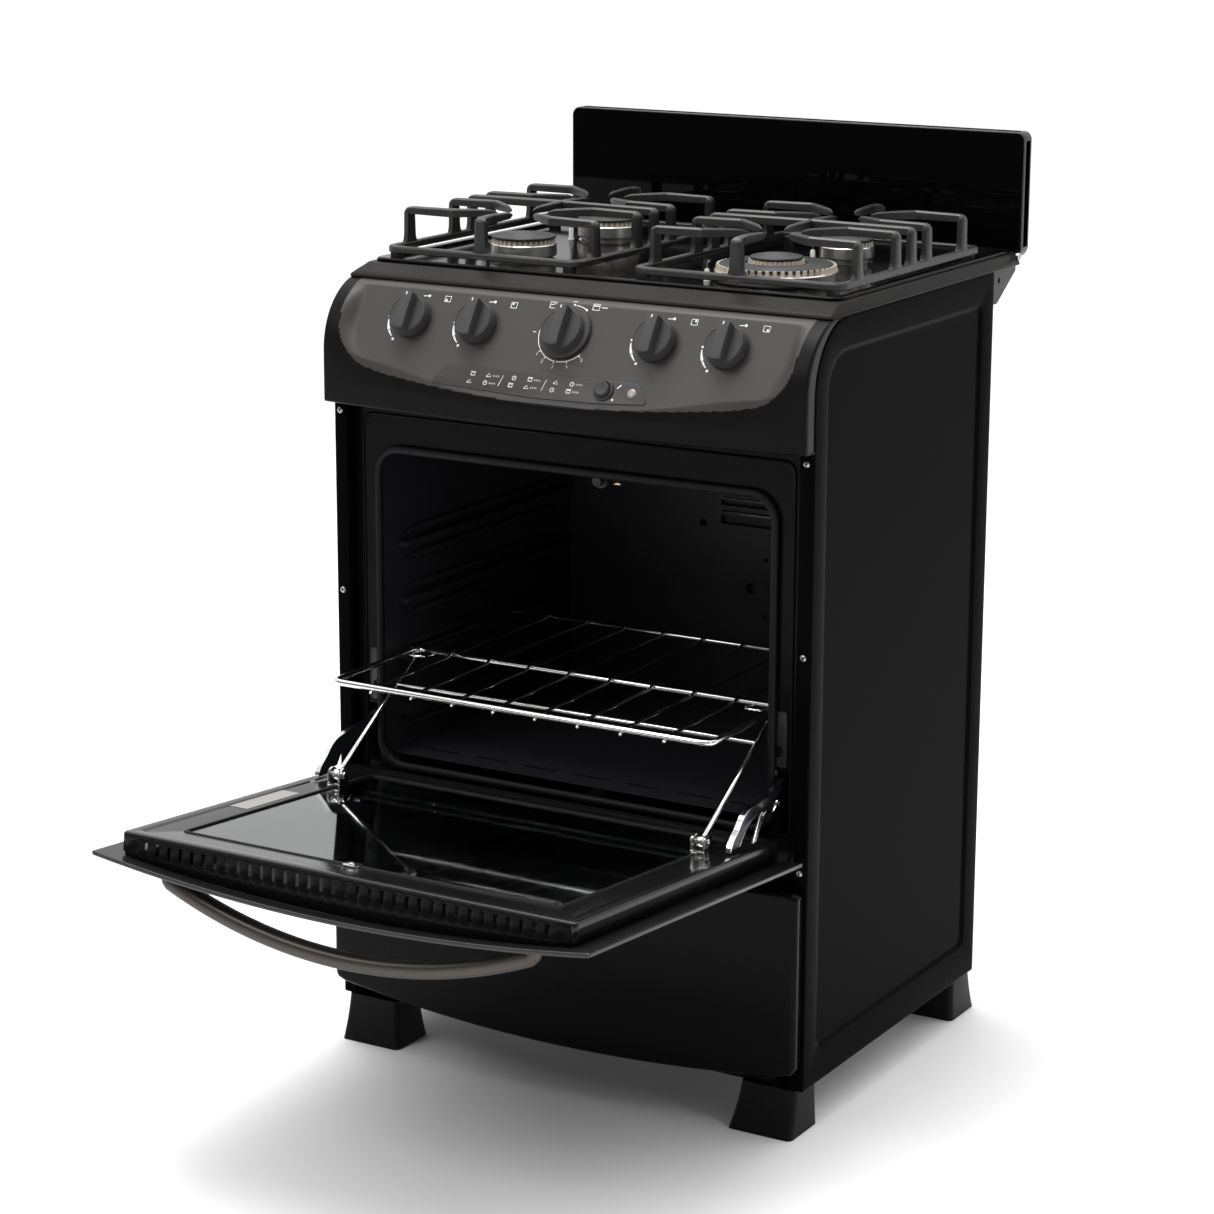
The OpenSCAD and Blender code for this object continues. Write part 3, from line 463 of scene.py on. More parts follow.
GLOSS_BLACK = Finish(
    "gloss_black_enamel", (0.0026, 0.0025, 0.0026), 0.13, texture=Texture.GLOSS, bump=0.02, ior=1.15
)
SIDE_BLACK = Finish(
    "side_black_enamel", (0.0022, 0.0021, 0.0022), 0.2, texture=Texture.GLOSS, bump=0.02, ior=1.05
)
CHARCOAL = Finish("satin_charcoal_paint", (0.041, 0.038, 0.037), 0.38, bump=0.14, vary=0.08, ior=1.3)
# BAND_PAINTED_SHADE is a darker copy of the charcoal paint: painted shade for the dark floor and door that
# the band under the knob field reflects
BAND_PAINTED_SHADE = Finish("band_painted_shade", (0.0055, 0.005, 0.005), 0.36, bump=0.12, vary=0.08, ior=1.16)
TRIM_PAINT = Finish("surround_paint", (0.0105, 0.0095, 0.009), 0.36, bump=0.12, vary=0.08, ior=1.15)
FRAME_BLACK = Finish(
    "frame_enamel", (0.0035, 0.0034, 0.0036), 0.26, texture=Texture.ENAMEL, bump=0.06, ior=1.15
)
OVEN_ENAMEL = Finish(
    "oven_enamel", (0.0028, 0.0028, 0.0033), 0.22, texture=Texture.ENAMEL, bump=0.15, vary=0.3, specular=0.3
)
GALVANISED = Finish(
    "galvanised_sheet", (0.42, 0.42, 0.43), 0.42, metallic=0.9, texture=Texture.SPANGLE, vary=0.2, bump=0.1
)
BURNER_STEEL = Finish(
    "heat_darkened_steel", (0.03, 0.027, 0.025), 0.5, metallic=0.5, texture=Texture.CAST, vary=0.3, bump=0.2
)
CHROME = Finish(
    "bright_chrome", (0.72, 0.71, 0.7), 0.13, metallic=1, texture=Texture.GLOSS, vary=0.05, bump=0.05
)
BLACK_GLASS = Finish(
    "black_glass", (0.0016, 0.0015, 0.0017), 0.035, texture=Texture.GLOSS, vary=0.05, bump=0.004,
    specular=0.24
)
GUARD_GLASS = Finish(
    "guard_glass", (0.0014, 0.0013, 0.0015), 0.03, texture=Texture.GLOSS, vary=0.05, bump=0.003, ior=1.16
)
TITANIUM = Finish(
    "titanium_satin", (0.07, 0.061, 0.053), 0.38, metallic=0.8, texture=Texture.BRUSHED, bump=0.12,
    along=(0.15, 6, 6)
)
CAST_IRON = Finish(
    "cast_iron_enamel", (0.0115, 0.0105, 0.01), 0.36, texture=Texture.CAST, vary=0.25, bump=0.55,
    specular=0.5
)
CAP_ENAMEL = Finish(
    "cap_enamel", (0.013, 0.012, 0.0115), 0.4, texture=Texture.ENAMEL, vary=0.2, bump=0.25, specular=0.4
)
ALUMINIUM = Finish(
    "die_cast_aluminium", (0.66, 0.64, 0.6), 0.28, metallic=0.95, texture=Texture.BRUSHED, bump=0.15,
    vary=0.15
)
BRASS = Finish("brass", (0.52, 0.34, 0.14), 0.32, metallic=1, texture=Texture.BRUSHED, bump=0.1)
MOULDED = Finish(
    "moulded_black_plastic", (0.006, 0.006, 0.006), 0.42, texture=Texture.MOULDED, bump=0.15, ior=1.2
)
KNOB = Finish("knob_plastic", (0.0065, 0.006, 0.006), 0.32, texture=Texture.MOULDED, bump=0.1, ior=1.13)
SEAL = Finish("braided_seal", (0.005, 0.005, 0.0055), 0.5, texture=Texture.WEAVE, bump=0.45, ior=1.25)
WOOL = Finish("mineral_wool", (0.52, 0.46, 0.3), 0.95, texture=Texture.WOOL, vary=0.35, bump=1)
LENS = Finish("smoked_lens", (0.24, 0.2, 0.18), 0.28, texture=Texture.GLOSS, coat=0.3)
CERAMIC = Finish("glazed_ceramic", (0.75, 0.73, 0.68), 0.3, texture=Texture.ENAMEL)
LABEL = Finish("label_film", (0.026, 0.0245, 0.0235), 0.34, texture=Texture.SATIN, bump=0.06, specular=0.3)
PRINT = Finish("white_print", (0.72, 0.71, 0.69), 0.5, texture=Texture.SATIN, bump=0.05)
SCREW = Finish("zinc_screw", (0.42, 0.41, 0.4), 0.3, metallic=1, texture=Texture.BRUSHED)
BLUED = Finish("blued_steel", (0.05, 0.062, 0.075), 0.3, metallic=0.75, texture=Texture.BRUSHED, bump=0.15)
STICKER = Finish("plain_foil_label", (0.3, 0.285, 0.275), 0.4, metallic=0.4, texture=Texture.SATIN, bump=0.1)
PORT = Finish("port_cream", (0.62, 0.55, 0.46), 0.5, metallic=0.3, texture=Texture.CAST)
GLASS_EDGE = Finish("glass_edge", (0.02, 0.17, 0.155), 0.12, texture=Texture.GLOSS, coat=0.3)
DOOR_GLASS = Finish(
    "tinted_glass", (0.34, 0.37, 0.36), 0.03, texture=Texture.GLOSS, vary=0.03, bump=0.003, see_through=1.0
)
STRIP = Finish(
    "jamb_strip_steel", (0.03, 0.029, 0.03), 0.32, metallic=0.6, texture=Texture.BRUSHED, bump=0.08
)
PAN = Finish(
    "door_pan_enamel", (0.006, 0.0058, 0.0058), 0.16, texture=Texture.ENAMEL, bump=0.02, specular=0.32
)
PAPER = Finish("studio_paper", (0.88, 0.88, 0.88), 0.75, texture=Texture.SATIN, vary=0.01, bump=0.02)


# --- control panel and knobs ------------------------------------------------


@dataclass
class Slope:
    """The flat field the knobs stand on, leaning back from the lower ledge."""

    foot_y: float = -259.0
    foot_z: float = 784.0
    lean: float = math.degrees(math.atan2(63, 100))

    def depth(self, z: np.ndarray) -> np.ndarray:
        """Y of the field at height z: a straight line in the side view."""
        return self.foot_y + (z - self.foot_z) * math.tan(math.radians(self.lean))

    def stand(self, shell: Shell, x: float, z: float) -> Shell:
        """A shell drawn flat and raised along Z, stood on the field at (x, z)."""
        return shell.turned(turn_x(90 - self.lean), (x, float(self.depth(np.array(z))), z))


@dataclass
class ControlPanel:
    """The pressed steel fascia, its label, button, lens and prints."""

    slope: Slope
    half: float = 300.0
    bottom: float = 754.0
    top: float = 886.0
    edge_y: float = -241.0
    bow: float = 21.0
    arc_z: float = 812.0
    arc_r: float = 78.0
    turn_in: float = 3.0
    field_low: float = 781.5
    field_rise: float = 14.0
    field_x: float = 227.0
    field_z: float = 853.0
    field_r: float = 56.0
    knob_x: tuple = (-196.0, -111.0, 0.0, 111.0, 196.0)
    knob_z: float = 852.0
    label_x: float = -14.0
    label_z: float = 800.0
    button_x: float = 66.0
    lens_x: float = 100.0
    small_z: float = 801.0

    def outer(self, x: np.ndarray, z: np.ndarray) -> np.ndarray:
        """Y of the bowed form without the field: the end arc plus the bow, which fades out above the
        arc's start."""
        rise = np.clip(z - self.arc_z, 0, 76)
        arc = self.edge_y + self.arc_r - np.sqrt(self.arc_r**2 - rise**2)
        r = (self.half**2 + self.bow**2) / (2 * self.bow)
        bowed = np.sqrt(r * r - x * x) - (r - self.bow)
        return arc - bowed * (1 - smooth((z - 775) / 60))

    def field_depth(self, x: np.ndarray, z: np.ndarray) -> np.ndarray:
        """Distance inside the field's outline: its lower edge curves up gently, then turns up each side
        on a round corner."""
        ax = np.abs(x)
        low = self.field_low + self.field_rise * np.minimum(ax / self.field_x, 1) ** 2
        corner = self.field_r - np.hypot(ax - self.field_x, np.minimum(z - self.field_z, 0))
        return np.where(ax <= self.field_x, z - low, corner)

    def face(self, x: np.ndarray, z: np.ndarray) -> np.ndarray:
        """Y of the finished face: the outer form, sunk to the field by a smooth step across the outline."""
        d = self.field_depth(x, z)
        width = 3 + 15 * smooth((np.abs(x) - 215) / 60)
        sunk = smooth((d + 1) / width)
        outer = self.outer(x, z)
        return outer * (1 - sunk) + np.maximum(self.slope.depth(z), outer) * sunk

    def behind(self, z: np.ndarray) -> np.ndarray:
        """The rearmost Y that the panel's turned-in ends may reach, just off the side panels' front curve."""
        rise = np.clip(z - self.arc_z, 0, 75)
        return -221.5 + 75 - np.sqrt(75.5**2 - rise**2)

    def fascia(self) -> Shell:
        """The face on a grid of x and z, with its ends, bottom and top turned back round small radii."""
        a = np.linspace(0, math.pi / 2, 5)[1:]
        r, flange = self.turn_in, 18
        flat, foot = self.half - r, self.bottom + r
        inner = np.concatenate(
            [np.linspace(-flat, -210, 40), np.linspace(-205, 205, 92), np.linspace(210, flat, 40)]
        )
        end_x, end_y = flat + r * np.sin(a), r * (1 - np.cos(a))
        xs = np.concatenate([[-self.half], -end_x[::-1], inner, end_x, [self.half]])
        back_x = np.concatenate([[flange], end_y[::-1], inner * 0, end_y, [flange]])
        z_in = np.linspace(foot, self.top - 2, 96)
        zs = np.concatenate(
            [
                [self.bottom, self.bottom], (foot - r * np.sin(a))[::-1], z_in,
                [self.top, self.top + 0.6, self.top + 0.6]
            ]
        )
        back_z = np.concatenate([[22, 12], (r * (1 - np.cos(a)))[::-1], z_in * 0, [0.6, 2.5, 16]])
        x, z = np.meshgrid(xs, zs)
        face = self.face(np.clip(x, -flat, flat), np.clip(z, foot, self.top))
        y = face + back_x[None, :] + back_z[:, None]
        ends = np.abs(x) > self.half - 1
        y = np.where(ends, np.minimum(y, self.behind(z)), y)
        return sheet(np.stack([x, y, z], -1))

    def build(self) -> None:
        """Makes the fascia, its band below the field in a darker copy of the paint as painted shade for the
        dark reflection the band shows, and everything on it.
        """
        shell = self.fascia()
        piece = shell.place(
            "control_fascia", CHARCOAL, "range", ["control_panel"], "satin_charcoal", 42, solidify=1.4,
            outward=False
        )
        # the band under the field takes the darker copy of the paint: painted shade, not a second paint
        piece.data.materials.append(BAND_PAINTED_SHADE.material())
        middle = shell.points[np.array(shell.faces)].mean(1)
        below = self.field_depth(middle[:, 0], middle[:, 2]) < 0.5
        piece.data.polygons.foreach_set("material_index", below.astype(np.int32))
        self.label()
        self.button()
        self.prints()

    def label(self) -> None:
        """The raised label strip: a plate over a bent trapezium with round corners."""
        outline = np.array(
            [
                [-135, -10], [-70, -14.5], [0, -15.6], [70, -14.5], [135, -10], [128, 2], [120, 13],
                [0, 14], [-120, 13], [-128, 2]
            ],
            float
        )
        path = rounded_path(
            [*np.column_stack([outline, np.zeros(10)]), [-135, -10, 0], [-70, -14.5, 0]], 6, 5
        )[6:-1, :2]
        plate = slab(path, 0, 1.1, 0.8)
        self.slope.stand(plate, self.label_x, self.label_z).place(
            "label_plate_face", LABEL, "range", ["label_plate"], "label", 40
        )

    def button(self) -> None:
        """Spark button in its ring, with the lens beside it."""
        ring = ring_solid([(8.9, 1.0), (8.9, 3.2), (9.6, 4.1), (10.8, 4.1), (11.7, 3.2), (12, 1.0)], 64)
        self.slope.stand(ring, self.button_x, self.small_z).place(
            "spark_button_ring", KNOB, "range", ["button_ring"], "knob_plastic", 30
        )
        button = revolve([(0, -5), (8.2, -5), (8.2, 6.4), (7.7, 7.4), (6.8, 7.8), (4, 7.3), (0, 7.0)], 64)
        self.slope.stand(button, self.button_x, self.small_z).place(
            "spark_button", KNOB, "igniter", ["igniter_button"], "knob_plastic", 30
        )
        lens = revolve([(0, 0.8), (5.2, 0.8), (5.2, 1.8), (4.6, 2.4), (3, 2.9), (0, 3.1)], 48)
        self.slope.stand(lens, self.lens_x, self.small_z).place(
            "signal_lens", LENS, "range", ["indicator_lens"], "lens", 30
        )

    def arc(self, r: float, a0: float, a1: float, w0: float, w1: float, n: int = 14) -> Shell:
        """A printed arc whose width runs from w0 to w1, angles in degrees from +X."""
        a = np.radians(np.linspace(a0, a1, n))
        w = np.linspace(w0, w1, n) / 2
        rim = np.concatenate(
            [
                np.stack([(r + w) * np.cos(a), (r + w) * np.sin(a)], -1),
                np.stack([(r - w) * np.cos(a), (r - w) * np.sin(a)], -1)[::-1]
            ]
        )
        return slab(rim, -0.05, 0.07, 0.01, 1)

    def dot(self, x: float, y: float, d: float) -> Shell:
        """A printed dot."""
        return slab(circle(d / 2, 14), -0.05, 0.07, 0.01, 1).moved(x, y)

    def stroke(self, points: Sequence[Sequence[float]], w: float = 0.7) -> Shell:
        """A printed line of width w through the points."""
        path = np.column_stack([np.asarray(points, float), np.full(len(points), 0.01)])
        return carry(path, np.array([[-w / 2, -0.06], [w / 2, -0.06], [w / 2, 0.06], [-w / 2, 0.06]]))

    def frame_mark(self, x: float, y: float, w: float, h: float) -> Shell:
        """A printed rectangle outline."""
        return self.stroke(
            [(x - w, y - h), (x + w, y - h), (x + w, y + h), (x - w, y + h), (x - w, y - h)], 0.8
        )

    def burner_marks(self, k: int) -> Shell:
        """Marks round a burner knob: a flame arc that thins out, a dot above and a square with the
        burner's place in it."""
        place = [(-1, -1), (-1, 1), (0, 0), (1, 1), (1, -1)][k]
        r, low_flame = 30.5, math.radians(236)
        square_x, square_z = 37, 26.5
        marks = [
            self.arc(r, 186, 210, 1.0, 3.2),
            self.arc(r, 212, 229, 2.2, 1.0),
            self.dot((r + 1) * math.cos(low_flame), (r + 1) * math.sin(low_flame), 3.2),
            self.dot(-r, 0, 2.6),
            self.stroke([(5, 27.5), (11, 28)], 0.9),
            self.dot(12.5, 28.2, 3.2),
            self.stroke([(-14, 27), (-10, 28.6), (-6, 27.4)], 1.0),
            self.frame_mark(square_x, square_z, 3.6, 3.2),
            self.dot(square_x + 1.4 * place[0], square_z + 1.3 * place[1], 2.4),
        ]
        return join(marks)

    def digit(self, number: str, x: float, y: float, h: float = 3.2) -> Shell:
        """Dial numbers drawn with straight strokes, one or more figures side by side."""
        w = h * 0.5
        at = {"a": (0, h), "b": (w, h), "c": (0, h / 2), "d": (w, h / 2), "e": (0, 0), "f": (w, 0)}
        runs = {
            "0": "aefba", "1": "bf", "2": "abdcef", "3": "abdcdfe", "4": "acdbdf", "5": "bacdfe",
            "6": "baefdc", "7": "abf", "8": "abfeacd", "9": "dcabfe"
        }
        shells = []
        for i, figure in enumerate(number):
            shift = x + (i - len(number) / 2) * (w + 1.1)
            shells.append(self.stroke([(shift + at[p][0], y + at[p][1] - h / 2) for p in runs[figure]], 0.5))
        return join(shells)

    def oven_marks(self) -> Shell:
        """Oven dial: a lower arc with ticks and temperatures, an upper arc, and small oven pictures."""
        r = 33
        shells = [
            self.arc(r, 178, 215, 0.9, 0.9), self.arc(r, 217, 262, 0.9, 0.9),
            self.arc(r, 266, 318, 0.9, 0.9), self.arc(r, 62, 86, 1.0, 1.0)
        ]
        for a, number in ((222, "1"), (240, "2"), (262, "3"), (288, "4"), (314, "5")):
            c, s = math.cos(math.radians(a)), math.sin(math.radians(a))
            shells.append(self.stroke([(r * c, r * s), ((r + 3) * c, (r + 3) * s)], 0.8))
            shells.append(self.digit(number, (r + 6.5) * c + 1, (r + 6.5) * s))
        shells += [
            self.dot(0, r + 0.5, 2.6), self.dot(r * math.cos(1.05), r * math.sin(1.05), 2.6),
            self.stroke([(-3, r + 4), (3, r + 4)], 0.8),
            self.frame_mark(-26, 31, 3.8, 3.4), self.stroke([(-29, 31), (-24, 32.5)], 0.8),
            self.frame_mark(27, 33, 4, 3.4), self.stroke([(23.5, 34.4), (30.5, 34.4)], 1.2),
            self.stroke([(-19.5, 31), (-14, 31)], 0.8), self.stroke([(33.5, 33), (41, 33)], 0.8),
            self.stroke([(-41, -1.5), (-37, -1.5)], 0.8),
        ]
        return join(shells)

    def label_marks(self) -> Shell:
        """Rows of small pictures and tally strokes on the label: pots, trays and clocks, without words."""
        shells = []
        for row, y in enumerate((4.6, -4.2)):
            for col, x in enumerate((-84, -64, -32, -12, 20, 40)):
                x0 = x - 2 * row
                kind = (row + col) % 3
                if kind == 0:
                    shells += [
                        self.frame_mark(x0, y, 2.4, 1.6),
                        self.stroke([(x0 - 3, y + 2.6), (x0 + 3, y + 2.6)], 0.5)
                    ]
                elif kind == 1:
                    shells += [
                        self.stroke(
                            [(x0 - 3, y - 1.6), (x0, y + 2), (x0 + 3, y - 1.6), (x0 - 3, y - 1.6)], 0.6
                        )
                    ]
                else:
                    shells += [
                        self.arc(2.3, 0, 350, 0.6, 0.6, 20).moved(x0, y),
                        self.stroke([(x0, y + 1.5), (x0, y), (x0 + 1.3, y)], 0.45)
                    ]
                if col in (1, 3, 5):
                    shells += [
                        self.stroke([(x0 + 5.5 + 2.2 * i, y - 1), (x0 + 5.5 + 2.2 * i, y + 1)], 0.5)
                        for i in range(4)
                    ]
        shells += [self.stroke([(x, 6.5), (x - 3, -6.5)], 0.5) for x in (-46, 8)]
        shells += [self.stroke([(95, 5), (99, 9.5)], 1.2), self.dot(93, -8, 2.4)]
        return join(shells)

    def prints(self) -> None:
        """All white marks, stood on the field and the label."""
        marks = [self.slope.stand(self.burner_marks(k), self.knob_x[k], self.knob_z) for k in (0, 1, 3, 4)]
        marks.append(self.slope.stand(self.oven_marks(), 0, self.knob_z))
        marks.append(self.slope.stand(self.label_marks().moved(z=1.12), self.label_x, self.label_z))
        join(marks).place("panel_prints", PRINT, "range", angle=40)


@dataclass
class Knob:
    """A control knob: a drum with both sides of its top sunk, so that a grip bar stands across it."""

    index: int
    x: float
    panel: ControlPanel
    d: float = 45.0
    height: float = 22.0
    ledge: float = 11.5
    bar: float = 14.5
    gap: float = 3.4
    skirt: float = 0.0

    def standing(self, shell: Shell) -> Shell:
        """A shell of the knob, stood on the panel with the knob's own gap under it."""
        return self.panel.slope.stand(shell.moved(z=self.gap), self.x, self.panel.knob_z)

    def grip(self) -> Shell:
        """The bar across the drum: both ends follow the drum's circle, both sides are slightly waisted."""
        r = self.d / 2 - 0.6
        a = math.acos(self.bar / 2 / r)
        t = np.linspace(a, math.pi - a, 12)
        end = r * np.column_stack([np.cos(t), np.sin(t)])
        side = np.linspace(-1, 1, 14)[1:-1]
        flank = np.column_stack([self.bar / 2 - 0.5 * (1 - side**2), end[0, 1] * side])
        return slab(np.vstack([end, -flank, -end, flank]), self.ledge - 1.5, self.height, 0.9, 3)

    def build(self) -> None:
        """Makes the knob and rides it on its own body."""
        r, top = self.d / 2, self.ledge
        drum = revolve(
            [
                (0, 0), (r + 0.9, 0), (r + 0.9, 0.8), (r + 0.2, 5), (r - 0.3, top - 1.3),
                (r - 0.8, top - 0.35), (r - 1.8, top), (r - 2.6, top - 0.5), (0, top - 0.7)
            ],
            96
        )
        parts = [drum, self.grip()]
        if self.skirt:
            parts.append(
                revolve(
                    [
                        (0, 0.1), (self.skirt, 0.1), (self.skirt, 0.8), (self.skirt - 1, 1.9), (r, 2.6),
                        (0, 2.6)
                    ],
                    96
                )
            )
        mark = slab(
            rounded_box(-0.6, 0.6, r - 5.2, r - 1.6, 0.5, 4), self.height - 0.3, self.height + 0.06, 0.02, 1
        )
        k = self.index
        self.standing(join(parts)).place(
            f"control_knob_{k}", KNOB, f"knob_body_{k}", [f"knob_{k}"], "knob_plastic", 28
        )
        self.standing(mark).place(f"knob_pointer_{k}", PRINT, f"knob_body_{k}", angle=40)


# --- cooktop ----------------------------------------------------------------


@dataclass
class Cooktop:
    """Surround, black plate with its well, and the burners."""

    half: float = 300.0
    plate_half: float = 292.0
    front: float = -155.0
    back: float = 290.0
    top: float = 905.0
    floor: float = 897.0
    stretch: float = 1.6
    burners: tuple = ((-158, -48, 75, 70), (-160, 145, 75, 70), (163, -49, 135, 49), (162, 123, 62, 56))
    triple: int = 2

    def rings(self, levels: Sequence[Sequence[float]]) -> np.ndarray:
        """Rectangular rings from (side x, front y, back y, corner radius, z) rows."""
        return np.array(
            [np.column_stack([rounded_box(-x, x, f, b, r, 8), np.full(32, z)]) for x, f, b, r, z in levels]
        )

    def surround(self) -> None:
        """A frame whose front slopes and whose sides round over; each ring is a rectangle at its own
        height."""
        h, b = self.half, self.back + 2
        levels = [
            (h - 3.5, -184, b, 3, 886.9), (h - 0.8, -186.6, b, 3, 886.9), (h, -187.4, b, 3, 887.6),
            (h, -187.0, b, 3, 889.2), (h - 0.6, -185.4, b, 3, 890.9), (h - 2.4, -176, b, 4, 894.6),
            (h - 4.4, -166, b, 5, 898.2), (h - 5.4, -161.4, b, 6, 900.4), (h - 6.4, -159, b, 8, 901.0),
            (h - 12, -156, b - 3, 10, 901.0), (h - 14, -154, b - 5, 10, 899.4),
            (h - 14, -150, b - 5, 10, 888.0),
        ]
        loft(self.rings(levels), loop=True).place(
            "cooktop_surround", TRIM_PAINT, "range", ["cooktop_trim"], "satin_charcoal", 50
        )

    def plate(self) -> None:
        """The enamelled plate: a rolled rim, a raised lip, then a smooth drop into the well."""
        x, f, b, top = self.plate_half, self.front, self.back, self.top
        rows = [
            (x - 5, f + 5, b - 5, 14, top - 4.4), (x - 0.6, f + 0.6, b - 0.6, 15, top - 3.8),
            (x, f, b, 15, top - 2.6), (x - 0.3, f + 0.3, b - 0.3, 15, top - 1),
            (x - 1.6, f + 1.6, b - 1.6, 14, top - 0.1), (x - 7, f + 7, b - 7, 13, top),
        ]
        for k in np.linspace(0, 1, 9):
            d = 8 + 16 * k
            rows.append((x - d, f + d, b - d, 22 + 14 * k, top - (top - self.floor) * float(smooth(k))))
        rows.append((x - 90, f + 90, b - 90, 30, self.floor))
        skin = loft(self.rings(rows))
        skin.place("cooktop_enamel", GLOSS_BLACK, "range", ["cooktop_plate"], "gloss_black", 50)
        dishes = []
        z = self.floor
        for bx, by, d, _ in self.burners:
            r = min(d, 100) / 2
            profile = [
                (r - 2, z - 0.2), (r - 2, z + 1.6), (r + 3, z + 2.2), (r + 9, z + 1.6), (r + 16, z + 0.2),
                (r + 18, z - 0.2)
            ]
            dishes.append(ring_solid(profile, 72).moved(bx, by))
        join(dishes).place("burner_dishes", GLOSS_BLACK, "range", slot="gloss_black", angle=40)

    def teeth(self, count: int, low: float, high: float, depth: float) -> Callable:
        """A wave that cuts count slots of this depth between two heights: the radius drops where the
        cosine is high."""

        def wave(r: np.ndarray, z: np.ndarray, a: np.ndarray) -> np.ndarray:
            """New radii."""
            slot_here = (np.cos(a * count) > 0.2) & (z > low) & (z < high) & (r > 8)
            return r - depth * slot_here

        return wave

    def raised(self, shell: Shell) -> Shell:
        """A burner shell stretched upwards from the well's floor: height above the floor times the
        stretch."""
        height = self.floor + (shell.points[:, 2] - self.floor) * self.stretch
        return Shell(np.column_stack([shell.points[:, :2], height]), shell.faces)

    def crown(self, d: float) -> list:
        """Flame ring of a plain burner: a skirt, a bright drum and a cream row of ports under the cap."""
        r, z = d / 2, self.floor
        base = revolve(
            [
                (0, z), (r - 3, z), (r - 1.5, z + 0.8), (r - 1.5, z + 2.2), (r - 4.5, z + 3.2),
                (r - 4.5, z + 4.4), (r - 0.6, z + 5.2), (r, z + 6), (r - 0.4, z + 13), (r - 1.2, z + 13.6),
                (r - 7, z + 13.6), (r - 9, z + 9), (0, z + 9)
            ],
            96
        )
        ports = ring_solid(
            [
                (r - 8.5, z + 12), (r - 1.8, z + 12), (r - 1.6, z + 13.8), (r - 2.2, z + 16.8),
                (r - 8.5, z + 16.8)
            ],
            216, self.teeth(36, z + 13, z + 20, 2.6)
        )
        return [base, ports]

    def build(self) -> None:
        """Makes the cooktop, crowns, caps and electrodes."""
        self.surround()
        self.plate()
        metal, ports, spark, tips = [], [], [], []
        z, spark_gap, spark_angle = self.floor, 7.5, math.radians(215)
        ceramic = revolve(
            [
                (0, z + 0.1), (3.6, z + 0.1), (3.6, z + 3), (2.7, z + 4), (2.7, z + 9.5), (2, z + 10.5),
                (0, z + 10.6)
            ],
            24
        )
        needle = wire([(0, 0, z + 9), (0, 0, z + 14.5), (2.5, 1.8, z + 16)], 1.5, 1.5, (1, 0, 0), 8)
        for k, (x, y, d, cap_d) in enumerate(self.burners):
            base, teeth = self.triple_crown() if k == self.triple else self.crown(d)
            metal.append(self.raised(base).moved(x, y))
            ports.append(self.raised(teeth).moved(x, y))
            r = d / 2 + spark_gap
            sx, sy = x + r * math.cos(spark_angle), y + r * math.sin(spark_angle)
            spark.append(ceramic.moved(sx, sy))
            tips.append(needle.moved(sx, sy))
            self.cap(k, x, y, cap_d)
        join(metal).place("burner_bodies", ALUMINIUM, "range", ["burner_crowns"], "aluminium", 25)
        join(ports).place("burner_ports", PORT, "range", slot="aluminium", angle=20)
        self.raised(join(spark)).place("electrode_ceramics", CERAMIC, "range", ["electrodes"], "ceramic", 30)
        self.raised(join(tips)).place("electrode_pins", SCREW, "range", slot="screw", angle=30)

    def triple_crown(self) -> list:
        """The big burner: an outer toothed ring, a black annular lid and a raised inner ring with its own
        ports."""
        z = self.floor
        base = revolve(
            [
                (0, z), (50, z), (51, z + 1.5), (49.5, z + 2.3), (64, z + 2.4), (66.6, z + 2.8),
                (67.4, z + 3.8), (67.4, z + 9.2), (66.4, z + 9.9), (60, z + 9.9), (58, z + 8), (36, z + 8),
                (34, z + 9), (33, z + 13.2), (31, z + 13.6), (22, z + 13.6), (20, z + 9), (0, z + 9)
            ],
            120,
        )
        outer = ring_solid(
            [(54, z + 9.0), (65.2, z + 9.0), (65.6, z + 10.2), (64.8, z + 13.6), (54, z + 13.4)], 480,
            self.teeth(48, z + 9.5, z + 20, 5.0)
        )
        inner = ring_solid(
            [(22, z + 12.5), (30.6, z + 12.5), (30.6, z + 13.8), (30, z + 16.8), (22, z + 16.8)], 216,
            self.teeth(36, z + 13, z + 20, 2.4)
        )
        x, y = self.burners[self.triple][:2]
        lid = ring_solid(
            [
                (34.2, z + 10.6), (34.2, z + 14.2), (36, z + 15.2), (48, z + 14.8), (60.4, z + 14.2),
                (61.8, z + 13.6), (61.8, z + 12.2), (60, z + 10.6)
            ],
            96
        )
        self.raised(lid).moved(x, y).place("ring_lid", CAP_ENAMEL, "range", slot="cap_enamel", angle=30)
        return [base, outer + inner]

    def cap(self, k: int, x: float, y: float, d: float) -> None:
        """Enamelled cap with a soft dome: the height falls off as the radius grows, then rounds over the
        rim."""
        r = d / 2 + (4.2 if k == self.triple else 1.5)
        z = self.floor + 17.0 * self.stretch
        t = np.linspace(0, 1, 9)
        dome = [(r - 1.8 - (r - 1.9) * s, z + 3.4 + 2.8 * (1 - (1 - s) ** 2)) for s in t]
        profile = [(0, z + 0.05), (r - 1, z + 0.05), (r, z + 0.9), (r, z + 2.2), (r - 0.7, z + 3.1)] + dome
        revolve(profile, 96).moved(x, y).place(
            f"burner_cap_{k + 1}", CAP_ENAMEL, f"cap_body_{k + 1}", [f"cap_{k + 1}"], "cap_enamel", 30
        )


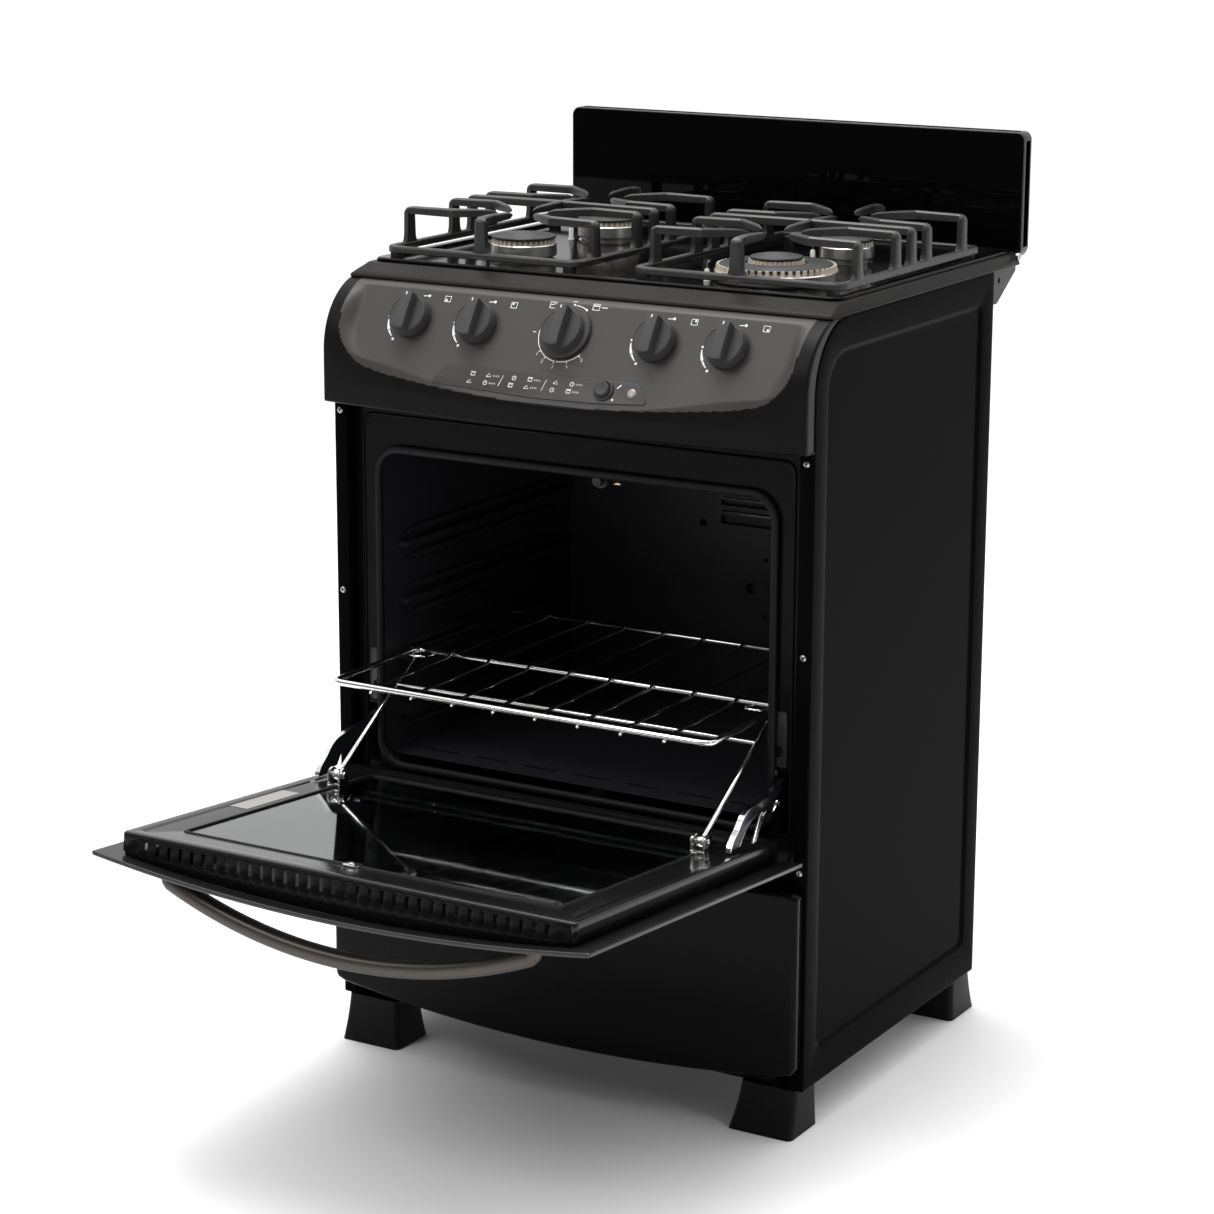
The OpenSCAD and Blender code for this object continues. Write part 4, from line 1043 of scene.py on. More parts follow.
@dataclass
class Grate:
    """Cast pan support: a base ring with legs that turn over into fingers round two burners."""

    side: str
    x: float
    half: float = 127.0
    front: float = -139.0
    back: float = 214.0
    base: float = 909.0
    top: float = 957.0
    bar: float = 6.6

    def section(self) -> np.ndarray:
        """A unit bar section: flat foot and sides that draft inwards to a chamfered flat top."""
        return np.array(
            [
                (-0.5, -0.5), (0.5, -0.5), (0.48, 0.1), (0.44, 0.32), (0.24, 0.5), (-0.24, 0.5),
                (-0.44, 0.32), (-0.48, 0.1)
            ]
        )

    def leg(self, p: Sequence[float], bend: Sequence[float], flare: float = 37) -> Shell:
        """A leg on the rail at p that turns over into a bar running to bend.

        The section is wide along the rail at the foot, narrows as it rises and turns into the top bar.
        """
        p, bend = np.asarray(p, float), np.asarray(bend, float)
        run = bend - p
        n = float(np.linalg.norm(run))
        d = run / n
        z1 = self.top - 4.6
        flat = rounded_path([(0, self.base + 1, 0), (0, z1, 0), (n, z1, 0)], 4, 7)
        dense = np.vstack(
            [np.column_stack([np.zeros(12), np.linspace(self.base + 1, z1 - 6, 12)]), flat[1:, :2]]
        )
        path = np.column_stack([p[0] + d[0] * dense[:, 0], p[1] + d[1] * dense[:, 0], dense[:, 1]])
        side = np.array([-d[1], d[0], 0])
        t = np.gradient(path, axis=0)
        t /= np.linalg.norm(t, axis=1, keepdims=True)
        top = np.cross(t, side)
        rise = dense[:, 1] - self.base
        width = 17.5 - 3 * np.clip(rise / 40, 0, 1) + (flare - 17.5) * np.clip(1 - rise / 18, 0, 1) ** 2.4
        over = smooth(dense[:, 0] / 9)
        width = width * (1 - over) + self.bar * over
        depth = (7.2 + 3 * np.clip(1 - rise / 9, 0, 1) ** 2) * (1 - over) + 9.6 * over
        s = self.section()[None] * np.stack([width, depth], -1)[:, None, :]
        return loft(path[:, None] + s[..., :1] * side[None, None] + s[..., 1:] * top[:, None])

    def tip(self, bend: Sequence[float], end: Sequence[float]) -> Shell:
        """The finger from the bend to its pointed end."""
        k = np.linspace(0, 1, 7)[:, None]
        a, b = np.array([*bend, self.top - 4.6]), np.array([*end, self.top - 5.2])
        path = a + (b - a) * k
        w = np.column_stack([self.bar - 3.0 * k[:, 0] ** 2, 9.6 - 3.4 * k[:, 0] ** 2])
        w[-1] *= 0.35
        return carry(path, self.section(), scale=w)

    def finger(self, p: Sequence[float], bend: Sequence[float], end: Sequence[float]) -> Shell:
        """Leg, top bar and tip in one."""
        knee = revolve(
            [
                (0, self.top - 9.3), (3.3, self.top - 9.3), (3.3, self.top - 2.0), (2.0, self.top - 0.2),
                (0, self.top - 0.2)
            ],
            16
        ).moved(*bend)
        return join([self.leg(p, bend), knee, self.tip(bend, end)])

    def build(self) -> None:
        """Makes the whole casting in its own place."""
        w, length = self.half, self.back - self.front
        mid = length / 2
        rail = []
        for d, z in (
            (8.6, self.base + 1), (8.6, self.base + 6.4), (7.6, self.base + 7.8), (6, self.base + 8.2),
            (2.6, self.base + 8.2), (1, self.base + 7.6), (0, self.base + 6), (0, self.base + 1),
            (1, self.base), (7.6, self.base)
        ):
            rail.append(
                np.column_stack(
                    [rounded_box(-w + d, w - d, d, length - d, 16 - d * 0.9, 8), np.full(32, z)]
                )
            )
        parts = [loft(np.array(rail), loop=True)]
        for x in (-w + 14, w - 14):
            for y in (7, length - 7):
                foot = rounded_box(-6, 6, -6, 6, 2.5, 4)
                parts.append(slab(foot, 897.2, self.base + 3, 0.5, 1, 0.8).moved(x, y))
        for s in (-1, 1):
            for q, side in ((0.26, -1), (0.26, 1), (0.74, -1), (0.74, 1)):
                y = length * q + side * 46
                parts.append(
                    self.finger((s * (w - 4.4), y), (s * (w - 62), y), (s * 24, length * q + side * 15))
                )
            parts.append(self.leg((s * (w - 4.4), mid), (s * 2, mid)))
        parts.append(self.finger((0, 4.4), (0, 22), (0, length * 0.26 - 22)))
        parts.append(self.finger((0, length - 4.4), (0, length - 22), (0, length * 0.74 + 22)))
        spine = [self.tip((0, mid), (0, length * 0.26 + 22)), self.tip((0, mid), (0, length * 0.74 - 22))]
        casting = join(parts + spine).moved(self.x, self.front)
        casting.place(
            f"pan_grate_{self.side}", CAST_IRON, f"grate_{self.side}_body", [f"grate_{self.side}"],
            "cast_iron", 22
        )


@dataclass
class Backguard:
    """Upright black glass at the rear in its steel rim."""

    half: float = 300.0
    face_y: float = 292.0
    low: float = 902.0
    top: float = 1037.0

    def build(self) -> None:
        """Makes the glass and the rim round it."""
        h, low, thick = self.half - 1.4, 894, 5.6
        outline = rounded_box(-h, h, self.low, self.top - 1, 9, 10)
        glass = slab(outline, -self.face_y - thick, -self.face_y, 0.7, 3)
        glass.turned(TO_FRONT).place(
            "backguard_front", GUARD_GLASS, "range", ["backguard_glass"], "black_glass", 30
        )
        rim = []
        for d, y in (
            (0.8, 292.6), (0, 293.6), (0, 309.5), (0.5, 311.2), (2, 312), (7, 312), (7, 310.8),
            (1.4, 310.8), (1.4, 293.4), (0.9, 292.8)
        ):
            box = rounded_box(-self.half + d, self.half - d, low + d, self.top - d, max(10 - d, 2), 10)
            rim.append(np.column_stack([box[:, 0], np.full(40, y), box[:, 1]]))
        loft(np.array(rim), loop=True).place(
            "backguard_rim", CHARCOAL, "range", slot="satin_charcoal", angle=35
        )


# --- cabinet ----------------------------------------------------------------


def bow_depth(x: np.ndarray, edge_y: float = -241.0, bow: float = 21.0) -> np.ndarray:
    """Y of the bowed fronts at x: a circle through the edge line at both sides and bow in front of it at
    the middle."""
    r = (300**2 + bow**2) / (2 * bow)
    return edge_y - (np.sqrt(r * r - np.asarray(x, float) ** 2) - (r - bow))


@dataclass
class Cabinet:
    """Side panels, front frame details, feet and small fixings."""

    half: float = 300.0
    front: float = -221.0
    back: float = 221.0
    low: float = 53.0
    top: float = 887.0
    curve: float = 75.0

    def outline(self, d: float, r: float, curve: float, lo: tuple, hi: tuple, n: int = 12) -> np.ndarray:
        """Side view outline inset by d: a rectangle whose top front corner has its own radius."""
        y0, z0, y1, z1 = lo[0] + d, lo[1] + d, hi[0] - d, hi[1] - d
        a = np.linspace(0, math.pi / 2, n)
        radii = [r, r, max(curve - d, 1), r]
        centres = [(y1 - r, z0 + r), (y1 - r, z1 - r), (y0 + radii[2], z1 - radii[2]), (y0 + r, z0 + r)]
        starts = np.array([-1, 0, 1, 2]) * math.pi / 2
        arcs = [
            np.column_stack([c[0] + q * np.cos(a + t), c[1] + q * np.sin(a + t)])
            for c, q, t in zip(centres, radii, starts)
        ]
        return np.vstack(arcs)

    def side(self) -> Shell:
        """Right panel: rings from the turned-in flange, round the rolled edge, across the border and down
        into the pressed field."""
        lo, hi = (self.front, self.low), (self.back, self.top)
        f_lo, f_hi = (-190, 95), (188, 852)
        h, around = self.half, 48
        edge = (
            (h - 17, 16), (h - 17, 1.6), (h - 16.4, 0.4), (h - 15, 0), (h - 2.4, 0), (h - 0.8, 0.5),
            (h - 0.1, 1.6), (h, 3.2)
        )
        field = (
            (h, -4.0), (h - 0.4, -2.4), (h - 1.1, -0.8), (h - 2, 0.8), (h - 2.7, 2.2), (h - 2.95, 4.0),
            (h - 3, 6.0)
        )
        rings = [self.outline(d, 2.0, self.curve, lo, hi) for _, d in edge]
        rings += [self.outline(d, 11.0, 41.0, f_lo, f_hi) for _, d in field]
        rings = [np.column_stack([np.full(around, x), r]) for (x, _), r in zip(edge + field, rings)]
        shell = loft(np.array(rings), caps=False)
        last = (len(rings) - 1) * around
        shell.faces.append(list(range(last, last + around)))
        return shell

    def build(self) -> None:
        """Makes both sides, the feet and the fixings."""
        right = self.side()
        right.place(
            "side_panel_r", SIDE_BLACK, "range", ["side_panel_right"], "gloss_black", 35, solidify=1.0
        )
        right.mirrored().place(
            "side_panel_l", SIDE_BLACK, "range", ["side_panel_left"], "gloss_black", 35, solidify=1.0
        )
        self.feet()
        self.fixings()
        self.jambs()

    def feet(self) -> None:
        """Tapered feet: each level is a rounded rectangle that shrinks with its height, a little faster
        near the floor."""
        shells = []
        t = np.linspace(0, 1, 8)
        for y_out, y_in, direction in ((-236, -172, 1), (241, 177, -1)):
            rings = []
            for k in t:
                shrink = 0.55 * k + 0.45 * (1 - (1 - k) ** 2)
                x0, x1 = 216 + 9 * shrink, 294 - 1.5 * shrink
                front, rear = y_out + direction * 14 * shrink, y_in - direction * 2 * shrink
                box = rounded_box(x0, x1, min(front, rear), max(front, rear), 6, 8)
                rings.append(np.column_stack([box, np.full(32, 52.6 * k + 0.4)]))
            sole = rings[0].copy()
            sole[:, :2] = inset(sole[:, :2], 1.2)
            sole[:, 2] = 0
            shells.append(loft(np.array([sole] + rings)))
        ribs = [
            carry(np.array([(x, -233.6, 4.0), (x, -226, 24), (x, -221.2, 50)]), circle(1.5, 8), (1, 0, 0))
            for x in (232, 255, 278)
        ]
        shell = join(shells + ribs)
        both_sides(shell).place("moulded_feet", MOULDED, "range", ["feet"], "black_plastic", 40)

    def fixings(self) -> None:
        """Recessed screws on the flanges: a domed head with a cross cut into it, turned to face the front
        or the back."""
        head = revolve([(0, 0), (3.6, 0), (3.5, 0.9), (2.6, 1.7), (1.2, 2.0), (0, 1.6)], 24)
        cross = join(
            [
                slab(rounded_box(-1.9, 1.9, -0.4, 0.4, 0.2, 3), 1.2, 2.1, 0.05, 1),
                slab(rounded_box(-0.4, 0.4, -1.9, 1.9, 0.2, 3), 1.2, 2.1, 0.05, 1)
            ]
        )
        spots = [(s * (self.half - 8.5), self.front - 0.1, z) for s in (-1, 1) for z in (536, 188, 742, 300)]
        join([head.turned(TO_FRONT, p) for p in spots]).place(
            "front_screws", SCREW, "range", ["panel_screws"], "screw", 30
        )
        join([cross.turned(TO_FRONT, p) for p in spots]).place(
            "front_screw_slots", MOULDED, "range", angle=30
        )
        rear = [(s * (self.half - 9), self.back + 0.1, z) for s in (-1, 1) for z in (817, 640, 420, 240, 93)]
        rear += [(s * 200, self.back - 1, z) for s in (-1, 1) for z in (868, 66)]
        join([head.turned(TO_BACK, p) for p in rear]).place(
            "rear_screws", SCREW, "range", slot="screw", angle=30
        )
        pin = revolve([(0, 0), (3.8, 0), (4.2, 1), (4.2, 3.6), (3.2, 4.6), (0, 4.8)], 24)
        both_sides(pin.turned(TO_RIGHT, (self.half - 1.4, 283, 897.5))).place(
            "surround_screws", SCREW, "range", slot="screw", angle=30
        )

    def jambs(self) -> None:
        """Strips beside the oven's mouth with the hinge slot's screw and roller, a raised bead round the
        front frame."""
        bead = []
        for r, y in ((0.0, -205.0), (0.6, -206.2), (1.8, -206.9), (3.0, -206.4), (3.6, -205.0)):
            box = rounded_box(-273 + r, 273 - r, 298 + r, 741 - r, 14, 8)
            bead.append(np.column_stack([box[:, 0], np.full(32, y), box[:, 1]]))
        loft(np.array(bead), loop=True).place(
            "frame_bead", FRAME_BLACK, "range", slot="frame_black", angle=40
        )
        strip = slab(rounded_box(247.5, 266, 409, 470, 2.5, 6), 205.0, 206.4, 0.5, 2).turned(TO_FRONT)
        roll = revolve(
            [(0, 0), (3.2, 0), (3.4, 0.6), (3.4, 4.4), (3.2, 5), (0, 5)], 24
        ).turned(TO_RIGHT, (249.0, -203.6, 401))
        cup = ring_solid(
            [(5.0, 206.3), (6.6, 206.3), (6.6, 207.1), (5.6, 207.6), (5.0, 207.1)], 32
        ).turned(TO_FRONT, (255.5, 0, 426))
        screw = revolve(
            [(0, 206.3), (4.4, 206.3), (4.2, 207.4), (2.4, 208.0), (1.0, 207.6), (0, 207.0)], 24
        ).turned(TO_FRONT, (255.5, 0, 426))
        both_sides(strip).place("jamb_strips", STRIP, "range", slot="frame_black", angle=30)
        both_sides(cup, screw).place(
            "jamb_screws", FRAME_BLACK, "range", slot="frame_black", angle=30
        )
        both_sides(roll).place("hinge_rollers", BRASS, "range", slot="brass", angle=30)


@dataclass
class Oven:
    """Seal round the mouth, rack slides and the fittings inside."""

    half: float = 248.0
    low: float = 338.0
    top: float = 700.0

    def build(self) -> None:
        """Makes the seal and the fittings inside the oven."""
        a = np.arange(14) * 2 * math.pi / 14
        rings = []
        for t in a:
            off, y = 4.6 * math.cos(t) - 2, -209.3 + 4.0 * math.sin(t)
            box = rounded_box(
                -self.half + off, self.half - off, self.low + off, self.top - off, 27 - off, 14
            )
            rings.append(np.column_stack([box[:, 0], np.full(56, y), box[:, 1]]))
        loft(np.array(rings), loop=True).place("mouth_seal", SEAL, "range", ["oven_gasket"], "seal", 60)
        self.slides()
        self.fittings()

    def slides(self) -> None:
        """Pressed rack slides: a long rounded rib whose section swells and dies out at both ends."""
        shells = []
        k = np.linspace(0, 1, 12)
        for z in (394, 460, 526, 592):
            for dz in (9.5, -21):
                path = np.column_stack([np.full(12, 246.5), -165 + 330 * k, np.full(12, z + dz - 4)])
                swell = np.clip(np.sin(math.pi * k) * 6, 0.1, 1)[:, None] * [1, 1]
                shells.append(carry(path, circle(5.0, 10), scale=swell))
        side = join(shells)
        both_sides(side).place(
            "wall_pressings", OVEN_ENAMEL, "range", slot="oven_enamel", angle=40
        )

    def fittings(self) -> None:
        """Brass holders of the top burner, a dark sheet behind the liner as painted shade that keeps the
        bright sky from showing through the liner's slots, the flue's louvre and the rivets.
        """
        nuts = []
        for y in (-115, 120):
            nuts.append(
                revolve([(0, 674), (4, 674), (4.6, 675), (4.6, 679), (3, 680), (0, 680)], 6).moved(0, y)
            )
            nuts.append(slab(rounded_box(-9, 9, -2, 2, 1, 4), 670.5, 672.5, 0.5, 1).moved(0, y))
        join(nuts).place("top_burner_holders", BRASS, "range", slot="brass", angle=30)
        # dark sheet behind the liner: painted shade that blocks the sky seen through the liner's slots, not a
        # real baffle
        shade_sheet = slab(rounded_box(-232, 232, 348, 692, 20, 6), 0, 1, 0.2, 1).turned(INTO_OVEN, (0, 207, 0))
        shade_sheet.place("painted_shade_sheet", BURNER_STEEL, "range", slot="frame_black", angle=30)
        louvre = wire([(-34, 197.5, 577), (98, 197.5, 577)], 3.4)
        lip = wire([(-34, 197.8, 594), (98, 197.8, 594)], 2.2)
        join([louvre, lip]).place("flue_louvre", GALVANISED, "range", slot="galvanised", angle=40)
        stud = revolve([(0, 0), (4.5, 0), (4, 1.6), (1.5, 2.6), (0, 2.7)], 16)
        spots = ((-180, 620), (-60, 560), (-180, 420), (110, 420), (180, 640))
        join(stud.turned(TO_FRONT, (x, 199.5, z)) for x, z in spots).place(
            "liner_rivets", FRAME_BLACK, "range", slot="frame_black", angle=30
        )


@dataclass
class Rack:
    """The chrome rack and the frame of rods that draws it out."""

    half: float = 240.0
    front: float = -325.0
    depth: float = 376.0
    z: float = 460.0
    bar_y: float = -160.0
    wires: int = 8
    rod_x: float = 230.0
    pin: tuple = (-325.0, 355.0)

    def build(self) -> None:
        """Makes the rack and its rods."""
        x0, f, b, z = self.half - 3.5, self.front + 3.5, self.front + self.depth, self.z
        frame_wire = wire([(-x0, b - 0.5, z), (-x0, f, z), (x0, f, z), (x0, b - 0.5, z)], 7, 13, n=14)
        parts = [
            frame_wire, wire([(-x0, b - 2.5, z), (x0, b - 2.5, z)], 5, n=12),
            wire([(-x0 - 1, self.bar_y, z), (x0 + 1, self.bar_y, z)], 6, n=12)
        ]
        pitch = 2 * x0 / (self.wires + 1)
        up = z + 4.6
        run = [
            (f - 4.6, z - 4.8), (f + 2, z - 4.2), (f + 10, z - 0.6), (self.bar_y - 12, z - 0.4),
            (self.bar_y - 4, up), (self.bar_y + 4, up), (self.bar_y + 12, z - 0.4), (b - 12, z - 0.4),
            (b - 5, up - 0.6), (b, up - 0.6)
        ]
        one = wire([(0, y, h) for y, h in run], 3.6, 3, (1, 0, 0), 8)
        parts += [one.moved(-x0 + (i + 1) * pitch) for i in range(self.wires)]
        join(parts).place("chrome_rack", CHROME, "rack_body", ["oven_rack"], "chrome_wire", 50)
        self.bar_ends()
        self.rods()

    def bar_ends(self) -> None:
        """Wire loops and brass tips where the middle bar meets the side wires."""
        x, y, z = self.half - 9, self.bar_y, self.z
        loop = wire(
            [
                (x - 26, y - 6, z - 1), (x - 26, y - 30, z + 2), (x - 4, y - 30, z + 2),
                (x - 4, y - 4, z - 1)
            ],
            3.0, 7
        )
        collar = revolve(
            [(0, 0), (4.3, 0), (4.6, 1), (4.6, 7), (4.3, 8), (0, 8)], 20
        ).turned(TO_RIGHT, (x - 6, y, z))
        tip = revolve([(0, 0), (2.4, 0), (2.4, 4), (0, 5)], 16).turned(TO_RIGHT, (x + 6.5, y, z))
        both_sides(loop, collar).place(
            "bar_loops", CHROME, "rack_body", slot="chrome_wire", angle=40
        )
        both_sides(tip).place("bar_tips", BRASS, "rack_body", slot="brass", angle=40)

    def rods(self) -> None:
        """Rods from the door brackets, flattened round their pins, with a cross bar between them."""
        y0, z0 = self.pin
        d = np.array([self.bar_y - y0, self.z - z0])
        length = float(np.hypot(*d))
        d /= length
        end = (y0 + d[0] * (length - 10.5), z0 + d[1] * (length - 10.5))
        rod = wire([(self.rod_x, y0 + d[0] * 4, z0 + d[1] * 4), (self.rod_x, *end)], 5, up=(1, 0, 0), n=12)
        eye = ring_solid(
            [(2.7, -3.6), (5.6, -3.6), (6.1, -3.0), (6.1, 3.0), (5.6, 3.6), (2.7, 3.6)], 32
        ).turned(TO_RIGHT, (self.rod_x, y0, z0))
        c = (y0 + 0.72 * (self.bar_y - y0), z0 + 0.72 * (self.z - z0))
        cross = wire([(-self.rod_x, *c), (self.rod_x, *c)], 5, n=12)
        join([both_sides(rod, eye), cross]).place(
            "pull_rods", CHROME, "pull_frame_body", ["pull_frame"], "chrome_wire", 50
        )


# --- door and drawer --------------------------------------------------------


@dataclass
class Door:
    """The drop-down door, drawn closed and then turned open about its hinge."""

    half: float = 298.5
    low: float = 310.0
    top: float = 752.0
    pan_half: float = 273.0
    pan_low: float = 316.0
    pan_top: float = 735.0
    pan_y: float = -215.0
    hinge: tuple = (-234.0, 318.0)
    opened: float = 85.2
    window: tuple = (228.0, 347.0, 690.0)

    def hang(self, shell: Shell) -> Shell:
        """Turns a closed-door shell open about the hinge axis."""
        pivot = np.array([0, *self.hinge])
        return Shell((shell.points - pivot) @ turn_x(self.opened).T + pivot, shell.faces)

    def build(self) -> None:
        """Makes the glass, pan, handle and hardware."""
        self.outer_glass()
        self.pan()
        self.inner_glass()
        self.handle()
        self.hardware()

    def outer_glass(self) -> None:
        """Bowed outer glass: rounded rectangles across its thickness, carried along x and shifted by the
        bow."""
        ends = self.half - np.array([2.0, 0.5, 0.0])
        middle = np.linspace(4.5 - self.half, self.half - 4.5, 60)
        x = np.concatenate([-ends[::-1], middle, ends])
        pull = np.concatenate([[1.4, 0.5, 0.0], np.zeros(60), [0.0, 0.5, 1.4]])
        y = bow_depth(x)
        rings = []
        for xi, yi, p in zip(x, y, pull):
            box = rounded_box(yi + p, yi + 5 - p, self.low + p, self.top - p, 1.6, 6)
            rings.append(np.column_stack([np.full(24, xi), box]))
        self.hang(loft(np.array(rings))).place(
            "door_outer_glass", BLACK_GLASS, "oven_door", ["door_skin"], "black_glass", 35
        )

    def rect(self, x: float, lo: float, hi: float, r: float, y: float) -> np.ndarray:
        """A rounded rectangle ring at depth y."""
        box = rounded_box(-x, x, lo, hi, r, 10)
        return np.column_stack([box[:, 0], np.full(40, y), box[:, 1]])

    def pan(self) -> None:
        """Pressed inner pan: side walls, a rounded rim, a shallow step and the window's turned-in edge;
        its free end is slotted."""
        h, lo, hi, y = self.pan_half, self.pan_low, self.pan_top, self.pan_y
        w, wl, wh = self.window
        rows = [
            (h, lo, hi, 5, y - 20.5), (h, lo, hi, 5, y - 3.0), (h - 0.5, lo + 0.5, hi - 0.5, 5, y - 1.2),
            (h - 1.6, lo + 1.6, hi - 1.6, 5, y - 0.2), (h - 3, lo + 3, hi - 3, 5, y),
            (h - 12, lo + 12, hi - 12, 6, y), (h - 13.2, lo + 13.2, hi - 13.2, 6, y - 0.4),
            (h - 14.4, lo + 14.4, hi - 14.4, 6, y - 1.3), (h - 16, lo + 16, hi - 16, 6, y - 1.5),
            (w + 2.5, wl - 2.5, wh + 2.5, 6, y - 1.5), (w + 0.8, wl - 0.8, wh + 0.8, 5, y - 1.9),
            (w, wl, wh, 5, y - 3.0), (w, wl, wh, 5, y - 7.5),
        ]
        rings = np.array([self.rect(*r) for r in rows])
        body = loft(rings, caps=False)
        body.faces = [f for f in body.faces if not (f[0] < 40 and f[0] % 40 == 19)]
        self.hang(body).place(
            "door_inner_pan", PAN, "oven_door", ["door_pan"], "frame_black", 35, solidify=1.0
        )
        self.hang(self.slotted_end()).place(
            "pan_slotted_end", FRAME_BLACK, "oven_door", slot="frame_black", angle=12, solidify=0.8
        )
        lip = ((0, -1.6), (0.8, -0.7), (2.6, -0.6), (3.6, -1.4), (3.8, -3.4), (0, -3.4))
        seal = [self.rect(w + 1.5 - d, wl - 1.5 + d, wh + 1.5 - d, 6, y + e) for d, e in lip]
        self.hang(loft(np.array(seal), loop=True)).place(
            "window_seal", SEAL, "oven_door", slot="seal", angle=50
        )
        label = slab(
            rounded_box(-268, -236, 474, 570, 1, 4), 0, 0.25, 0.1, 1
        ).turned(INTO_OVEN, (0, y - 1.3, 0))
        self.hang(label).place("blank_foil_label", STICKER, "oven_door", slot="label", angle=40)

    def slotted_end(self) -> Shell:
        """The pan's free end with its row of slots: a grid of columns and rows whose slot cells are left
        out."""
        n, pitch, w, h = 34, 14.6, 4.2, self.pan_half - 5
        mids = (np.arange(n) - (n - 1) / 2) * pitch
        slots = np.stack([mids - w / 2, mids + w / 2], -1).reshape(-1)
        xs = np.concatenate([[-h], slots, [h]])
        low = np.minimum(bow_depth(xs) + 5.4, self.pan_y - 20.5)
        levels = np.stack(
            [
                low, np.full_like(low, self.pan_y - 20.5), np.full_like(low, self.pan_y - 7.0),
                np.full_like(low, self.pan_y - 2.6)
            ]
        )
        grid = np.stack([np.broadcast_to(xs, levels.shape), levels, np.full_like(levels, self.pan_top)], -1)
        shell = sheet(grid)
        m = len(xs)
        shell.faces = [f for f in shell.faces if not (f[0] // m == 1 and f[0] % m % 2 == 1)]
        return shell

    def inner_glass(self) -> None:
        """Inner glass with its green edge, the clip that holds it and the bars behind it."""
        w, wl, wh = self.window
        y = self.pan_y
        pane = slab(
            rounded_box(-w + 1.4, w - 1.4, wl + 1.4, wh - 1.4, 4, 8), 0, 3.6, 0.3, 1, 0.3
        ).turned(TO_FRONT, (0, y - 2.6, 0))
        self.hang(pane).place("door_window", DOOR_GLASS, "oven_door", ["door_inner_glass"], "clear_glass", 30)
        edges = [
            wire(
                [
                    (-w + 0.9, y - 2.6, wl + 4), (-w + 0.9, y - 2.6, wl + 1), (w - 0.9, y - 2.6, wl + 1),
                    (w - 0.9, y - 2.6, wl + 4)
                ],
                1.9
            ),
            wire([(-63, y - 1.9, wh - 1.4), (37, y - 1.9, wh - 1.4)], 2.4)
        ]
        edges.append(wire([(-w + 0.9, y - 2.4, wl + 2), (-w + 0.9, y - 2.4, wl + 150)], 1.5))
        self.hang(join(edges)).place("window_edges", GLASS_EDGE, "oven_door", slot="clear_glass", angle=40)
        plate = slab(
            rounded_box(-24, -6, wh - 7, wh + 8, 3.5, 6), 0, 1.2, 0.4, 2
        ).turned(INTO_OVEN, (0, y - 1.2, 0))
        screw = revolve(
            [(0, 0), (3.6, 0), (3.2, 1.2), (1.6, 1.8), (0, 1.5)], 20
        ).turned(INTO_OVEN, (-15, y, wh + 2))
        self.hang(join([plate, screw])).place(
            "window_clip", CHROME, "oven_door", slot="chrome_wire", angle=30
        )
        bars = [
            slab(rounded_box(-w + 6, w - 6, z, z + 9, 2, 4), 0, 2, 0.6, 2).turned(INTO_OVEN, (0, y - 19, 0))
            for z in (366, 392, 652)
        ]
        self.hang(join(bars)).place("window_bars", GALVANISED, "oven_door", slot="galvanised", angle=40)

    def handle(self) -> None:
        """Bowed handle of flat oval section: its depth follows a circle and its ends turn into the door."""
        reach, half, z, post = 43, 215, self.top - 30, 10.5
        seat = float(bow_depth(half)) - 0.5
        tip = float(bow_depth(0)) - reach
        x = np.linspace(-half, half, 61)
        sag = seat - post - tip
        r = (half**2 + sag * sag) / (2 * sag)
        y = tip + r - np.sqrt(r * r - x * x)
        path = np.column_stack([x, y, np.full(61, z)])
        ends = np.array(
            [[-half - 6.5, seat + 0.3, z], [-half - 5.6, seat - 3.5, z], [-half - 3.4, seat - post + 2.6, z]]
        )
        path = np.vstack([ends, path, ends[::-1] * [-1, 1, 1]])
        a = np.arange(24) * 2 * math.pi / 24
        oval = np.column_stack(
            [
                9.3 * np.sign(np.cos(a)) * np.abs(np.cos(a)) ** 0.75,
                10.2 * np.sign(np.sin(a)) * np.abs(np.sin(a)) ** 0.85
            ]
        )
        grow = np.ones((len(path), 2))
        grow[:3] = [[0.95, 0.9], [0.85, 0.9], [0.9, 0.95]]
        grow[-3:] = grow[:3][::-1]
        self.hang(carry(path, oval, scale=grow)).place(
            "door_pull", TITANIUM, "oven_door", ["door_handle"], "titanium", 60
        )

    def hardware(self) -> None:
        """Hinge arms, links and the rod brackets, drawn with the door open."""
        upper = [
            (-203.4, 397), (-214, 392), (-236.1, 388), (-270.0, 384.5), (-286, 382), (-296.5, 376),
            (-303.5, 368), (-316.5, 358), (-321.5, 350.5), (-322, 346.5)
        ]
        lower = [
            (-299, 346.5), (-292.1, 354.5), (-284.8, 361), (-274.8, 366.5), (-257.1, 371), (-231.3, 374.5),
            (-212, 379.5), (-203.4, 384)
        ]
        blade = np.array(upper + lower)[::-1]
        face = slab(blade, 0, 1.8, 0.3, 1).turned(TO_RIGHT, (257.6, 0, 0))
        both_sides(face).place(
            "hinge_blades", BLUED, "oven_door", ["hinge_arms"], "dark_steel", 30
        )
        rim = np.column_stack([np.full(len(upper), 260.2), np.array(upper)])
        lip = np.array([[-2.9, -0.8], [2.9, -0.8], [2.9, 0.8], [-2.9, 0.8]])
        edge = carry(rounded_path(rim, 7, 5), lip, (0, 0, 1))
        inner = carry(
            rounded_path(np.column_stack([np.full(len(lower), 259.4), np.array(lower)]), 5, 5), lip * 0.55
        )
        both_sides(edge, inner).place(
            "hinge_blade_rims", CHROME, "oven_door", slot="chrome_wire", angle=40
        )
        link = slab(
            np.array([(-283, 347), (-275, 347), (-260, 368), (-256, 372), (-262, 376), (-268, 372)], float),
            0, 2, 0.4, 1
        ).turned(TO_RIGHT, (266, 0, 0))
        hook = wire(
            [(267.4, -262, 372), (267.4, -250, 375), (267.4, -240, 368), (267.4, -232, 374)], 2.6, 4,
            (1, 0, 0)
        )
